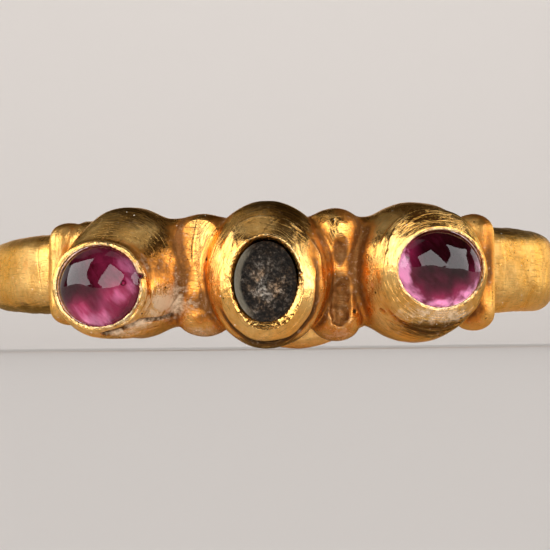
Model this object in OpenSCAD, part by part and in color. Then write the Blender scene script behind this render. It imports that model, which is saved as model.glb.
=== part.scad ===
// Gold finger ring, in millimetres. Three raised cups stand in a row at the front of the hoop.
// The outer two hold oval cabochons, and the middle one keeps only its bed of cement.
// The finger hole runs along Z, and the middle cup faces -Y, with +X to its right.

/* [Hoop] */
// Diameter of the finger hole
finger_hole_d = 19.8; // [19:0.1:20.4]
// Thickness of the hoop, from the finger hole to the crest of its outer face
hoop_thick = 1.55; // [1.3:0.05:1.7]
// Width of the hoop under the row of cups
row_w = 4.15; // [3.6:0.05:4.3]
// Height of its middle there
row_z = -0.07; // [-0.2:0.01:0.2]
// Width of the hoop just past the left and the right bead collar
shoulder_w = [3.15, 3.4]; // [2.8:0.05:3.5]
// Width of the hoop at its narrowest, at the left and at the right side
side_w = [2.55, 3.05]; // [2:0.05:3.1]
// Angle from the front at which the hoop has come down to its narrowest
side_at = 112; // [95:1:130]
// How far the hoop's inner edge is chamfered
inner_chamfer = 0.3; // [0.2:0.05:0.45]

/* [Widening at the back] */
// Place of the widening, in degrees from the front
back_at = 174; // [165:1:180]
// Half the stretch of the hoop that widens, in degrees
back_span = 29; // [22:1:36]
// Full width of the widening
back_w = 5.7; // [4.6:0.1:5.8]
// How far it stands out from the hoop
back_rise = 0.35; // [0:0.05:0.8]
// Height of its middle above the hoop's middle
back_z = -0.16; // [-0.3:0.02:0.3]

/* [Left cup] */
// Place on the hoop, in degrees from the front, with the right side positive
left_cup_at = -31.2; // [-33:0.1:-29]
// Width and height of the bulging body
left_cup_body = [4.9, 5.02]; // [4.6:0.02:5.4]
// How far the body's top and bottom sit to the right of the rim's middle
left_cup_lean = [0.24, 0.6]; // [-0.6:0.02:0.6]
// Width and height of the rim's outer edge
left_cup_rim = [4.3, 3.54]; // [3.2:0.02:4.4]
// Height of the body's middle, and how far the rim sits above it
left_cup_z = [-0.02, -0.52]; // [-0.6:0.02:0.6]
// Width and height of the opening
left_cup_open = [3.9, 3.2]; // [2.8:0.02:4]
// How far the opening sits to the right of the rim's middle and above it
left_cup_open_shift = [0, 0]; // [-0.2:0.02:0.2]
// Distance from the hoop's axis of the widest part of the body, and of the rim
left_cup_reach = [10.6, 12.6]; // [10.2:0.1:13]

/* [Middle cup] */
// Place on the hoop
middle_cup_at = -0.6; // [-2:0.1:2]
// Width and height of the bulging body
middle_cup_body = [4.8, 5.5]; // [4.4:0.02:5.8]
// How far the body's top and bottom sit to the right of the rim's middle
middle_cup_lean = [0, 0]; // [-0.6:0.02:0.6]
// Width and height of the rim's outer edge
middle_cup_rim = [3.48, 3.92]; // [3.2:0.02:4.2]
// Height of the body's middle, and how far the rim sits above it
middle_cup_z = [-0.14, -0.48]; // [-0.6:0.02:0.6]
// Width and height of the opening
middle_cup_open = [2.56, 3.3]; // [2:0.02:3.4]
// How far the opening sits to the right of the rim's middle and above it
middle_cup_open_shift = [-0.06, 0.16]; // [-0.2:0.02:0.2]
// Distance from the hoop's axis of the widest part of the body, and of the rim
middle_cup_reach = [11.1, 12.8]; // [10.4:0.1:13.2]

/* [Right cup] */
// Place on the hoop
right_cup_at = 29.7; // [28:0.1:32]
// Width and height of the bulging body
right_cup_body = [5.3, 5.36]; // [4.8:0.02:5.6]
// How far the body's top and bottom sit to the right of the rim's middle
right_cup_lean = [-0.12, -0.12]; // [-0.6:0.02:0.6]
// Width and height of the rim's outer edge
right_cup_rim = [4.72, 4.1]; // [3.6:0.02:4.8]
// Height of the body's middle, and how far the rim sits above it
right_cup_z = [-0.12, -0.02]; // [-0.6:0.02:0.6]
// Width and height of the opening
right_cup_open = [3.84, 3.06]; // [2.8:0.02:4]
// How far the opening sits to the right of the rim's middle and above it
right_cup_open_shift = [0.12, 0.12]; // [-0.2:0.02:0.2]
// Distance from the hoop's axis of the widest part of the body, and of the rim
right_cup_reach = [11, 12.7]; // [10.4:0.1:13.1]

/* [Stones and cement] */
// Height of a cabochon's dome above its cup's rim
dome_rise = 0.62; // [0.4:0.02:0.9]
// Depth of a cup's seat below its rim
seat_depth = 1.5; // [1.1:0.05:1.8]
// Gap between a stone or the cement and its cup
setting_gap = 0.04; // [0.03:0.01:0.06]
// Depth of the empty cup's floor below its rim
empty_depth = 1.55; // [1.2:0.05:1.8]
// Thickness of the cement on that floor
cement_thick = 0.95; // [0.5:0.05:1.2]

/* [Hidden] */

// Smoothness of the finger hole
$fn = 96;

hole_r = finger_hole_d / 2;

// Facets round a cup, round a knot or collar, and stations round the hoop
CUP_SIDES = 36;
KNOT_SIDES = 20;
HOOP_STATIONS = 90;

// Facets over the hoop's outer face
HOOP_ARC = 11;

// Distance from the hoop's axis at which a cup's body starts, inside the finger hole
ROOT_R = hole_r - 0.25;

// Width of the sloping lip between a rim's outer edge and its highest line
LIP_DROP = 0.16;

// Columns of a cup's row
AT = 0;
BODY = 1;
RIM = 2;
MIDDLE_Z = 3;
OPEN = 4;
OPEN_SHIFT = 5;
REACH = 6;
LEAN = 7;

left_cup = [
    left_cup_at, left_cup_body, left_cup_rim, left_cup_z,
    left_cup_open, left_cup_open_shift, left_cup_reach, left_cup_lean
];
middle_cup = [
    middle_cup_at, middle_cup_body, middle_cup_rim, middle_cup_z,
    middle_cup_open, middle_cup_open_shift, middle_cup_reach, middle_cup_lean
];
right_cup = [
    right_cup_at, right_cup_body, right_cup_rim, right_cup_z,
    right_cup_open, right_cup_open_shift, right_cup_reach, right_cup_lean
];
cups = [left_cup, middle_cup, right_cup];

// Columns of the knots table, where collars and lobed knots are one form
K_AT = 0;        // place on the hoop, in degrees from the front
K_Z = 1;         // height of its middle
K_TALL = 2;      // full height
K_WIDE = 3;      // full width along the hoop, at its two ends
K_WAIST = 4;     // share of that width left at its waist
K_CENTRE = 5;    // distance of its middle from the hoop's axis
K_DEEP = 6;      // full depth, measured out from the hoop's axis
K_END = 7;       // how blunt its ends are

knots = [
    [-45.2, -0.02, 3.92, 1.4, 0.95, 10.8, 2, 7],      // left collar
    [-13.5, -0.18, 4.62, 2.4, 0.8, 10.8, 2.1, 5],     // left knot
    [12.8, -0.2, 5, 2.3, 0.8, 10.8, 2.1, 5],          // right knot
    [45.6, -0.12, 4.45, 1.4, 0.95, 10.85, 2, 7]       // right collar
];

// A smooth step from 0 to 1 as x goes from a to b
function ease(x, a, b) = let (t = min(1, max(0, (x - a) / (b - a)))) t * t * (3 - 2 * t);

// A closed body through rings of points, all with the same count, capped at both ends
module loft(rings) {
    count = len(rings[0]);
    last = len(rings) - 1;
    points = [for (ring = rings) each ring];
    sides = [
        for (r = [0:last - 1])
        for (i = [0:count - 1])
        let (j = (i + 1) % count)
        each [
            [r * count + i, (r + 1) * count + i, (r + 1) * count + j],
            [r * count + i, (r + 1) * count + j, r * count + j]
        ]
    ];
    foot = [[for (i = [0:count - 1]) i]];
    head = [[for (i = [count - 1:-1:0]) last * count + i]];
    polyhedron(points = points, faces = concat(sides, foot, head));
}

// A ring of points that faces -Y at a distance from the axis, on an oval whose top may lean right
function oval_ring(reach, middle, size, sides, slant = 0) = [
    for (i = [0:sides - 1])
    let (a = 360 * i / sides)
    [middle[0] + size[0] / 2 * cos(a) + slant * sin(a), -reach, middle[1] + size[1] / 2 * sin(a)]
];

// How much of the bulge is left at a share s of the way from the root to the rim
function bulge(s, widest) = s < widest
    ? 1 - pow((widest - s) / widest, 2)
    : 1 - pow((s - widest) / (1 - widest), 2.2);

// One ring of a cup's outer face, at a share s of the way from its root to its rim
function cup_ring(cup, s) =
    let (rim_foot = cup[REACH][1] - LIP_DROP)
    let (widest = (cup[REACH][0] - ROOT_R) / (rim_foot - ROOT_R))
    let (left = bulge(s, widest))
    let (slide = ease(s, 0.45, 1))
    let (lean = (1 - slide) * cup[LEAN])
    oval_ring(
        ROOT_R + s * (rim_foot - ROOT_R),
        [(lean[0] + lean[1]) / 2, cup[MIDDLE_Z][0] + slide * cup[MIDDLE_Z][1]],
        cup[RIM] + left * (cup[BODY] - cup[RIM]),
        CUP_SIDES,
        (lean[0] - lean[1]) / 2
    );

// Middle of a cup's opening, along the hoop and up
function open_middle(cup) = [0, cup[MIDDLE_Z][0] + cup[MIDDLE_Z][1]] + cup[OPEN_SHIFT];

// Oval of a cup's opening, grown by an extra all round
function open_size(cup, extra) = cup[OPEN] + [2 * extra, 2 * extra];

// Outer form of one cup, solid, with its sloping lip
module cup_body(cup) {
    rotate([0, 0, cup[AT]])
        loft(concat(
            [for (s = [0:0.125:1]) cup_ring(cup, s)],
            [oval_ring(cup[REACH][1], open_middle(cup), open_size(cup, 0.1), CUP_SIDES)]
        ));
}

// The hollow of one cup, from above its rim down to a floor that is a little narrower
module cup_seat(cup, depth) {
    rotate([0, 0, cup[AT]])
        loft([
            oval_ring(cup[REACH][1] - depth, open_middle(cup), open_size(cup, -0.12), CUP_SIDES),
            oval_ring(cup[REACH][1] + 0.3, open_middle(cup), open_size(cup, 0.03), CUP_SIDES)
        ]);
}

// A knot or collar: an upright form with two blunt ends and a waist
module knot_body(knot) {
    half = knot[K_TALL] / 2;
    shares = [-0.995, -0.95, -0.86, -0.72, -0.5, -0.25, 0, 0.25, 0.5, 0.72, 0.86, 0.95, 0.995];
    rotate([0, 0, knot[K_AT]])
        loft([
            for (q = shares)
            let (round_off = sqrt(1 - pow(abs(q), knot[K_END])))
            let (waist = 1 - (1 - knot[K_WAIST]) * pow(1 - q * q, 2))
            let (half_w = knot[K_WIDE] / 2 * round_off * waist)
            let (half_d = knot[K_DEEP] / 2 * round_off * waist)
            [
                for (i = [0:KNOT_SIDES - 1])
                let (a = 360 * i / KNOT_SIDES)
                [half_w * cos(a), -knot[K_CENTRE] + half_d * sin(a), knot[K_Z] + q * half]
            ]
        ]);
}

// How near an angle on the hoop is to the widening at the back: 1 at its middle, 0 beyond it
function back_share(a) =
    let (off = abs(a > 0 ? a - back_at : a + 360 - back_at))
    off < back_span ? pow(cos(90 * off / back_span), 2) : 0;

// How far an angle is under the row of cups: 1 under it, 0 beyond the collars
function under_row(a) = 1 - ease(abs(a), 42, 47);

// Width of the hoop at an angle, before the widening
function plain_w(a) =
    let (i = a < 0 ? 0 : 1)
    let (other = 1 - i)
    let (near_back = ease(abs(a), side_at, 180) / 2)
    let (side = side_w[i] * (1 - near_back) + side_w[other] * near_back)
    let (plain = shoulder_w[i] + (side - shoulder_w[i]) * ease(abs(a), 42, side_at))
    plain + (row_w - plain) * under_row(a);

// The hoop's section at an angle, from its inner chamfer over the rounded outer face
function hoop_section(a) =
    let (back = back_share(a))
    let (half = (plain_w(a) + (back_w - plain_w(a)) * back) / 2)
    let (thick = hoop_thick * (1 - 0.08 * ease(abs(a), 60, 120)) + back_rise * back)
    let (mid = back_z * back + row_z * under_row(a))
    let (foot = hole_r + inner_chamfer)
    concat(
        [[hole_r - inner_chamfer, mid - half + 2 * inner_chamfer]],
        [
            for (k = [0:HOOP_ARC])
            let (b = 180 * k / HOOP_ARC)
            [
                foot + (thick - inner_chamfer) * pow(sin(b), 0.75),
                mid - half * sign(cos(b)) * pow(abs(cos(b)), 0.62)
            ]
        ],
        [[hole_r - inner_chamfer, mid + half - 2 * inner_chamfer]]
    );

// The hoop, swept round its axis
module hoop_body() {
    count = HOOP_ARC + 3;
    points = [
        for (n = [0:HOOP_STATIONS - 1])
        let (a = 360 * n / HOOP_STATIONS - 180)
        for (p = hoop_section(a))
        [p[0] * sin(a), -p[0] * cos(a), p[1]]
    ];
    faces = [
        for (n = [0:HOOP_STATIONS - 1])
        let (m = (n + 1) % HOOP_STATIONS)
        for (i = [0:count - 1])
        let (j = (i + 1) % count)
        each [
            [n * count + i, n * count + j, m * count + j],
            [n * count + i, m * count + j, m * count + i]
        ]
    ];
    polyhedron(points = points, faces = faces);
}

// Hoop, collars, knots and cups, soldered into one, with the finger hole and the three hollows
module gold_ring() {
    color([0.83, 0.62, 0.26])
        difference() {
            union() {
                hoop_body();
                for (cup = cups) cup_body(cup);
                for (knot = knots) knot_body(knot);
            }
            translate([0, 0, -6])
                cylinder(h = 12, r = hole_r);
            cup_seat(left_cup, seat_depth);
            cup_seat(middle_cup, empty_depth);
            cup_seat(right_cup, seat_depth);
        }
}

// A cabochon in its cup: straight sides in the seat and a dome above the rim
module cabochon(cup) {
    floor_reach = cup[REACH][1] - seat_depth + setting_gap;
    girdle_reach = cup[REACH][1] - 0.25;
    rise = cup[REACH][1] + dome_rise - girdle_reach;
    rotate([0, 0, cup[AT]])
        loft(concat(
            [oval_ring(floor_reach, open_middle(cup), open_size(cup, -0.12 - setting_gap), CUP_SIDES)],
            [
                for (a = [0, 14, 28, 42, 56, 68, 78, 86])
                oval_ring(
                    girdle_reach + rise * sin(a),
                    open_middle(cup),
                    open_size(cup, -0.02 - setting_gap) * cos(a),
                    CUP_SIDES
                )
            ]
        ));
}

// Cabochon of the left cup
module left_stone() {
    color([0.62, 0.12, 0.34])
        cabochon(left_cup);
}

// Cabochon of the right cup
module right_stone() {
    color([0.62, 0.12, 0.34])
        cabochon(right_cup);
}

// Cement left in the empty cup, with a hollowed, uneven top
module cement_bed() {
    cup = middle_cup;
    base = cup[REACH][1] - empty_depth + setting_gap;
    edge = open_size(cup, -0.1 - setting_gap);
    color([0.36, 0.34, 0.32])
        rotate([0, 0, cup[AT]])
            loft([
                oval_ring(base, open_middle(cup), open_size(cup, -0.13 - setting_gap), CUP_SIDES),
                oval_ring(base + cement_thick, open_middle(cup), edge, CUP_SIDES),
                oval_ring(base + cement_thick - 0.1, open_middle(cup), edge * 0.82, CUP_SIDES),
                oval_ring(base + cement_thick - 0.14, open_middle(cup), edge * 0.45, CUP_SIDES)
            ]);
}

gold_ring();
left_stone();
right_stone();
cement_bed();
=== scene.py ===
# %% [markdown]
# # A gold finger ring with three cup settings
#
# The real ring is soldered from high-carat gold: a hoop, a row of three raised cups, two lobed knots
# between them and a bead collar at each end of the row. The outer cups hold purplish red cabochons, and
# the middle one has lost its stone and keeps only its cement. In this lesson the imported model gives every
# place and size, and Blender adds what wear and handwork did to the metal.

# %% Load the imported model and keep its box
import math
import time

import bpy
import numpy as np
from mathutils import Matrix, Vector


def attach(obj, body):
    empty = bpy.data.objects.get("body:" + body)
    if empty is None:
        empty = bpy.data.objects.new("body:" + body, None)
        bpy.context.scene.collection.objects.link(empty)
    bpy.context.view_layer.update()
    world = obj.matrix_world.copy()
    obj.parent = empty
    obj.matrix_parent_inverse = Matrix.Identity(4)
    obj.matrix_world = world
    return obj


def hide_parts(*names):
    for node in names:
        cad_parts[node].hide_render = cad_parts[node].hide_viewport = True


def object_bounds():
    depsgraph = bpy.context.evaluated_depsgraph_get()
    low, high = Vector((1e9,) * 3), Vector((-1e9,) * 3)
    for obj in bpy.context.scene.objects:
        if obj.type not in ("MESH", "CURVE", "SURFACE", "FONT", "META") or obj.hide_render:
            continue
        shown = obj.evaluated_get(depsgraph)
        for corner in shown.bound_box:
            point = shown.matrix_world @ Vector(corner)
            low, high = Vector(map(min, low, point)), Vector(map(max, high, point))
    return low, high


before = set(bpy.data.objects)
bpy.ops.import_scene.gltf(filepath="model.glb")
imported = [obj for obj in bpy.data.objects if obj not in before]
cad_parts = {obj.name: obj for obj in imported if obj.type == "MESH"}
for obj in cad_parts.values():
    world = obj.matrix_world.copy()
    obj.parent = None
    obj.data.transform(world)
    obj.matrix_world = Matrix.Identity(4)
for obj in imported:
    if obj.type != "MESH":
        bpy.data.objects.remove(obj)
CAD_BOX = [[round(v, 6) for v in corner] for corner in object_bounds()]
print("nodes:", sorted(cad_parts))
print("box in mm:", [[round(v * 1000, 2) for v in corner] for corner in CAD_BOX])

# %% [markdown]
# ## Sizes, in millimetres
#
# The work is done in millimetres, because the smallest marks are a few hundredths of one, and the
# finished meshes are brought down to metres. Places on the ring are given as a goldsmith would point at
# them: the angle round the hoop from the front, the height, and the distance from the middle of the
# finger hole.

# %% Sizes of the hoop and of the widening at its back
MM = 0.001
HOLE_R = 9.9
HOOP_THICK = 1.55
HOOP_CHAMFER = 0.3
ROW_W, ROW_Z = 4.15, -0.07
SHOULDER_W = (3.15, 3.4)
SIDE_W = (2.55, 3.05)
SIDE_AT = 112
BACK_AT, BACK_SPAN, BACK_W, BACK_RISE, BACK_Z = 174, 29, 5.7, 0.35, -0.16
SECTION_OUT, SECTION_UP = 2.667, 3.226
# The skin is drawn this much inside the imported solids, so that its unevenness stays in their box.
INSET = 0.02
print("finger hole", 2 * HOLE_R, "mm, hoop", HOOP_THICK, "mm thick")

# %% Sizes of the three cups
ROOT_R = HOLE_R - 0.25
CUPS = {
    "left": dict(at=-31.2, body=(4.9, 5.02), lean=(0.24, 0.6), rim=(4.3, 3.54), z=(-0.02, -0.52),
                 open=(3.9, 3.2), shift=(0, 0), reach=(10.6, 12.6), deep=1.5),
    "middle": dict(at=-0.6, body=(4.8, 5.5), lean=(0, 0), rim=(3.48, 3.92), z=(-0.14, -0.48),
                   open=(2.56, 3.3), shift=(-0.06, 0.16), reach=(11.1, 12.8), deep=1.55),
    "right": dict(at=29.7, body=(5.3, 5.36), lean=(-0.12, -0.12), rim=(4.72, 4.1), z=(-0.12, -0.02),
                  open=(3.84, 3.06), shift=(0.12, 0.12), reach=(11, 12.7), deep=1.5),
}
LIP_DROP = 0.16
LIP_HUG = {"left": 0.09, "middle": 0, "right": 0.09}
SEAT_GAP = 0.04
for name, cup in CUPS.items():
    cup["foot"] = cup["reach"][1] - LIP_DROP
    cup["mouth"] = (cup["shift"][0], cup["z"][0] + cup["z"][1] + cup["shift"][1])
    print(name, "cup at", cup["at"], "degrees, opening", cup["open"], "mm")

# %% Sizes of the knots and collars
KNOTS = {
    "left_collar": dict(at=-45.2, z=-0.02, tall=3.92, wide=1.4, waist=0.95, r=10.8, deep=2, end=7),
    "left_knot": dict(at=-13.5, z=-0.18, tall=4.62, wide=2.4, waist=0.8, r=10.8, deep=2.1, end=5),
    "right_knot": dict(at=12.8, z=-0.2, tall=5, wide=2.3, waist=0.8, r=10.8, deep=2.1, end=5),
    "right_collar": dict(at=45.6, z=-0.12, tall=4.45, wide=1.4, waist=0.95, r=10.85, deep=2, end=7),
}
print(len(KNOTS), "knots and collars")

# %% [markdown]
# ## Gold as a distance
#
# Soldered parts have no clean line where they meet: the solder fills the corner with a small round.
# Joining separate meshes can't do that, so the gold is described as a distance instead. A function says
# how far a point is from the gold's skin, with a minus inside. Two parts are soldered by a minimum whose
# corner is rounded, and a hole is cut by a maximum. Dents, creases and pits are small changes to the
# distance.

# %% Steps, rounded joins and rounded cuts
def ease(x, a, b):
    t = np.clip((x - a) / (b - a), 0, 1)
    return t * t * (3 - 2 * t)


def solder(a, b, k):
    h = np.maximum(k - np.abs(a - b), 0) / k
    return np.minimum(a, b) - h * h * k * 0.25


def trim(a, b, k):
    return -solder(-a, -b, k)


FILLED = -float(solder(np.float32(0), np.float32(0), 0.3))
print("solder with a 0.3 mm round fills a corner by", round(FILLED, 3), "mm")

# %% Handwork is never quite even: a slow unevenness from a few waves
def waves(size, seed, count=7):
    """Waves with seeded directions, each about a given length."""
    draw = np.random.default_rng(seed)
    way = draw.normal(size=(count, 3))
    way /= np.linalg.norm(way, axis=1)[:, None]
    length = size * draw.uniform(0.7, 1.5, count)
    way = (way * (2 * np.pi / length)[:, None]).astype(np.float32)
    return way, draw.uniform(0, 6.28, count).astype(np.float32)


def uneven(p, wave):
    """The sum of the waves at the points, from about -1 to 1."""
    total = np.zeros_like(p["x"])
    for way, phase in zip(*wave):
        total += np.sin(way[0] * p["x"] + way[1] * p["y"] + way[2] * p["z"] + phase)
    return total / math.sqrt(len(wave[1]) * 2)


SLOW = waves(2.6, 3)
MIDDLING = waves(0.9, 11)
FINE = waves(0.34, 23, 16)
RAGGED = waves(0.15, 29, 14)
CRINKLE = waves(0.34, 31, 10)
print("slow waves, in mm:", np.round(2 * np.pi / np.linalg.norm(SLOW[0], axis=1), 1))

# %% Points of the ring: angle from the front, distance from the axis, height
def ring_points(a, r, z):
    a, r, z = (np.asarray(v, np.float32) for v in (a, r, z))
    t = np.radians(a)
    return dict(a=a, r=r, z=z, x=r * np.sin(t), y=-r * np.cos(t))


def from_xyz(spots):
    """The same, from rows of x, y and z."""
    x, y, z = spots.T
    return ring_points(np.degrees(np.arctan2(x, -y)), np.hypot(x, y), z)


def xyz(at, z, r):
    """A named place on the ring, as a point."""
    t = math.radians(at)
    return np.array((r * math.sin(t), -r * math.cos(t), z), np.float32)


def local(p, at):
    """Along the hoop and outward, seen from a place on it."""
    t = np.radians(p["a"] - at)
    return p["r"] * np.sin(t), p["r"] * np.cos(t)


print("the left cup's lip is at", np.round(xyz(CUPS["left"]["at"], 0, CUPS["left"]["reach"][1]), 2), "mm")

# %% [markdown]
# ## The hoop
#
# The hoop was hammered from a bar: flat against the finger, domed outside, its corners worn round. It is
# wider under the cups and plainly widened at the back. Its section is a superellipse, which is a rounded
# D, cut by a chamfer at the finger. Slow waves give the unevenness of hammering.

# %% The hoop's width and the widening
def widening(a):
    off = np.abs((a - BACK_AT + 180) % 360 - 180)
    return np.where(off < BACK_SPAN, np.cos(np.pi / 2 * off / BACK_SPAN) ** 2, 0)


def under_row(a):
    return 1 - ease(np.abs(a), 42, 47)


def plain_width(a):
    here = np.where(a < 0, SIDE_W[0], SIDE_W[1])
    there = np.where(a < 0, SIDE_W[1], SIDE_W[0])
    near_back = ease(np.abs(a), SIDE_AT, 180) / 2
    side = here * (1 - near_back) + there * near_back
    shoulder = np.where(a < 0, SHOULDER_W[0], SHOULDER_W[1])
    plain = shoulder + (side - shoulder) * ease(np.abs(a), 42, SIDE_AT)
    return plain + (ROW_W - plain) * under_row(a)


print("hoop's width at 60, 90 and 120 degrees:", np.round(plain_width(np.array([60, 90, 120])), 2), "mm")

# %% The hoop as a distance
def hoop(p):
    back = widening(p["a"])
    width = plain_width(p["a"])
    half = (width + (BACK_W - width) * back) / 2 - INSET
    thick = HOOP_THICK * (1 - 0.08 * ease(np.abs(p["a"]), 60, 120)) + (BACK_RISE - 0.05) * back - INSET
    mid = BACK_Z * back + ROW_Z * under_row(p["a"])
    foot = HOLE_R + HOOP_CHAMFER
    up = np.abs(p["z"] - mid) / half
    out = np.maximum(p["r"] - foot, 0) / (thick - HOOP_CHAMFER)
    skin = out ** SECTION_OUT + up ** SECTION_UP - 1
    slope_out = SECTION_OUT * out ** (SECTION_OUT - 1) / (thick - HOOP_CHAMFER)
    slope = np.hypot(slope_out, SECTION_UP * up ** (SECTION_UP - 1) / half)
    outer = skin / np.maximum(slope, 0.6)
    corner = (np.abs(p["z"] - mid) - half + foot - p["r"]) * 0.7071
    return trim(outer, corner, 0.2)


IN_THE_HOOP = ring_points([0, 90, BACK_AT], [HOLE_R + 0.7] * 3, [0, 0, BACK_Z])
print("three places 0.7 mm out from the hole, before it is cut, lie", np.round(-hoop(IN_THE_HOOP), 2),
      "mm deep")

# %% [markdown]
# ## The cups
#
# Each cup was raised from a bulging body that closes in towards its rim. The rim is an oval lip that was
# pushed over the stone's edge. The middle cup's lip is wide and flat, with a groove worn under it at the
# bottom and a ledge at the top.
#
# Here a cup is an oval whose size follows the bulge from foot to rim, topped by a sloping lip. Its seat
# is a second oval, taken away. A lathe form or a bent tube would be quicker, but neither gives an oval
# that leans, nor the round of solder where it meets the hoop.

# %% An oval's distance, and how the body bulges
def oval(u, z, middle, half):
    """Distance outside an oval, in its plane, and the direction round it in degrees, 90 at the top."""
    across, up = (u - middle[0]) / half[0], (z - middle[1]) / half[1]
    q = np.sqrt(across ** 2 + up ** 2) + 1e-6
    fall = np.sqrt((across / half[0]) ** 2 + (up / half[1]) ** 2) / q + 1e-6
    return (q - 1) / fall, across / q, up / q


def bulge(s, widest):
    low = 1 - ((widest - s) / widest) ** 2
    high = 1 - np.maximum((s - widest) / (1 - widest), 0) ** 2.2
    steep = np.where(s < widest, 2 * (widest - s) / widest ** 2,
                     -2.2 * np.maximum((s - widest) / (1 - widest), 0) ** 1.2 / (1 - widest))
    return np.where(s < widest, low, high), steep


def toward(cos_way, sin_way, degrees, spread):
    """1 in one direction round a cup, falling to 0 over a spread of degrees."""
    t = math.radians(degrees)
    near = cos_way * math.cos(t) + sin_way * math.sin(t)
    return ease(near, math.cos(math.radians(spread)), math.cos(math.radians(spread * 0.35)))


print("share of a 60 degree spread, 40 degrees off:", round(float(toward(1, 0, 40, 60)), 2))

# %% Lips: how wide, how steep, and what is under them
def lip_slope(name, c, s):
    if name == "middle":
        return 0.36 + 0.4 * toward(c, s, 70, 80)
    if name == "right":
        return 0.34 + 0.2 * toward(c, s, 80, 80) + 0.5 * toward(c, s, 5, 60)
    return 0.42 + 0.2 * toward(c, s, 60, 80)


def band(w, middle, width):
    return np.exp(-((w - middle) / width) ** 2)


def flank_ledges(name, w, c, s):
    """Ledges of a cup's flank, as a change of its width."""
    if name == "middle":
        return 0.36 * ease(w, 12.05, 12.32) * toward(c, s, 78, 76)
    if name == "right":
        return 0.16 * ease(w, 12.05, 12.3) * toward(c, s, 95, 75)
    return 0.05 * ease(w, 12.1, 12.3) * toward(c, s, -70, 80)


def flank_grooves(name, w, c, s):
    """Depth of the grooves worn or cut under a cup's lip."""
    if name == "middle":
        right, low = toward(c, s, -15, 70), toward(c, s, -85, 85)
        side = 0.02 * (1 - low) + 0.08 * right
        return side * band(w, 12.42, 0.11) * (1 - low) + 0.26 * band(w, 12.31, 0.12) * low
    if name == "right":
        side, low = toward(c, s, 8, 70), toward(c, s, -98, 60)
        return 0.13 * band(w, 12.4, 0.1) * side + 0.12 * band(w, 12.12, 0.1) * low
    return 0.04 * band(w, 12.3, 0.1) * toward(c, s, 50, 80)


print("slopes at the lips' tops:", {name: round(float(lip_slope(name, 0, 1)), 2) for name in CUPS})

# %% One cup as a distance
def cup_form(p, name):
    cup = CUPS[name]
    u, w = local(p, cup["at"])
    s = np.clip((w - ROOT_R) / (cup["foot"] - ROOT_R), 0, 1)
    widest = (cup["reach"][0] - ROOT_R) / (cup["foot"] - ROOT_R)
    left, steep = bulge(s, widest)
    slide = ease(s, 0.45, 1)
    wider, taller = (cup["body"][i] - cup["rim"][i] for i in (0, 1))
    half = [(cup["rim"][i] + left * more) / 2 - INSET for i, more in enumerate((wider, taller))]
    top_lean, low_lean = ((1 - slide) * v for v in cup["lean"])
    middle_z = cup["z"][0] + slide * cup["z"][1]
    slant = (top_lean - low_lean) / 2 * np.clip((p["z"] - middle_z) / half[1], -1, 1)
    side, c, t = oval(u - slant, p["z"], ((top_lean + low_lean) / 2, middle_z), half)
    change = steep * (wider * c ** 2 + taller * t ** 2) / 2
    side = side - flank_ledges(name, w, c, t) + flank_grooves(name, w, c, t)
    side = side / np.sqrt(1 + (change / (cup["foot"] - ROOT_R)) ** 2)
    out, c, t = oval(u, p["z"], cup["mouth"], [v / 2 for v in cup["open"]])
    slope = lip_slope(name, c, t)
    top = (w - cup["reach"][1] + INSET + slope * np.maximum(out - 0.05, 0)) / np.sqrt(1 + slope ** 2)
    return trim(side, top, 0.05)


def cup_hollow(p, name):
    """The seat: its wall closes in a little at the lip, where the gold was pushed over the stone."""
    cup = CUPS[name]
    u, w = local(p, cup["at"])
    rim = cup["reach"][1]
    floor = rim - cup["deep"]
    wall = -0.12 + 0.15 * (w - floor) / (cup["deep"] + 0.3)
    hug = LIP_HUG[name] * ease(w, rim - 0.25, rim - 0.02)
    out, c, t = oval(u, p["z"], cup["mouth"], [v / 2 for v in cup["open"]])
    ragged = 0.012 * uneven(p, RAGGED)
    if name == "middle":
        low = toward(c, t, -62, 80)
        step = ease(w, rim - 0.2, rim - 0.12)
        bevel = 0.05 * ease(w, rim - 0.14, rim - 0.03)
        wall = wall + bevel + low * (0.08 * step - 0.1 * (1 - step))
        ragged = ragged * 2
    return trim(out - wall + hug + ragged, floor - w, 0.12)


for name, cup in CUPS.items():
    spot = from_xyz(xyz(cup["at"], cup["mouth"][1], cup["reach"][1] - 0.5)[None])
    room = -float(cup_hollow(spot, name)[0])
    print(name, "seat: from half a millimetre under its mouth to the nearest metal,", round(room, 2), "mm")

# %% [markdown]
# ## Knots, collars and ridges
#
# A knot is one upright bead, pinched at its waist so that it reads as two lobes. The left one has a flat
# filed on its front, and the right one is broken open in two hollows. Narrow half-round ridges run beside
# them. A collar is the same bead, almost without a waist.
#
# One formula serves all four beads, each with its own sizes. The flat and the hollows are cuts into it,
# because that is what they are on the metal.

# %% A knot as a distance
def knot_form(p, name):
    k = KNOTS[name]
    u, w = local(p, k["at"])
    q = (p["z"] - k["z"]) / (k["tall"] / 2)
    inside = np.clip(np.abs(q), 0, 0.999)
    waist = 1 - (1 - k["waist"]) * (1 - inside ** 2) ** 2
    half_w, half_d = k["wide"] / 2 * waist - INSET, k["deep"] / 2 * waist - INSET
    across, out = np.abs(u) / half_w, np.abs(w - k["r"]) / half_d
    e = k["end"]
    body = np.abs(q) ** e + np.maximum(across ** 2 + out ** 2, 1e-6) - 1
    slope = np.sqrt((e * np.abs(q) ** (e - 1) / (k["tall"] / 2)) ** 2 + (2 * across / half_w) ** 2
                    + (2 * out / half_d) ** 2)
    return body / np.maximum(slope, 0.8)


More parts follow.
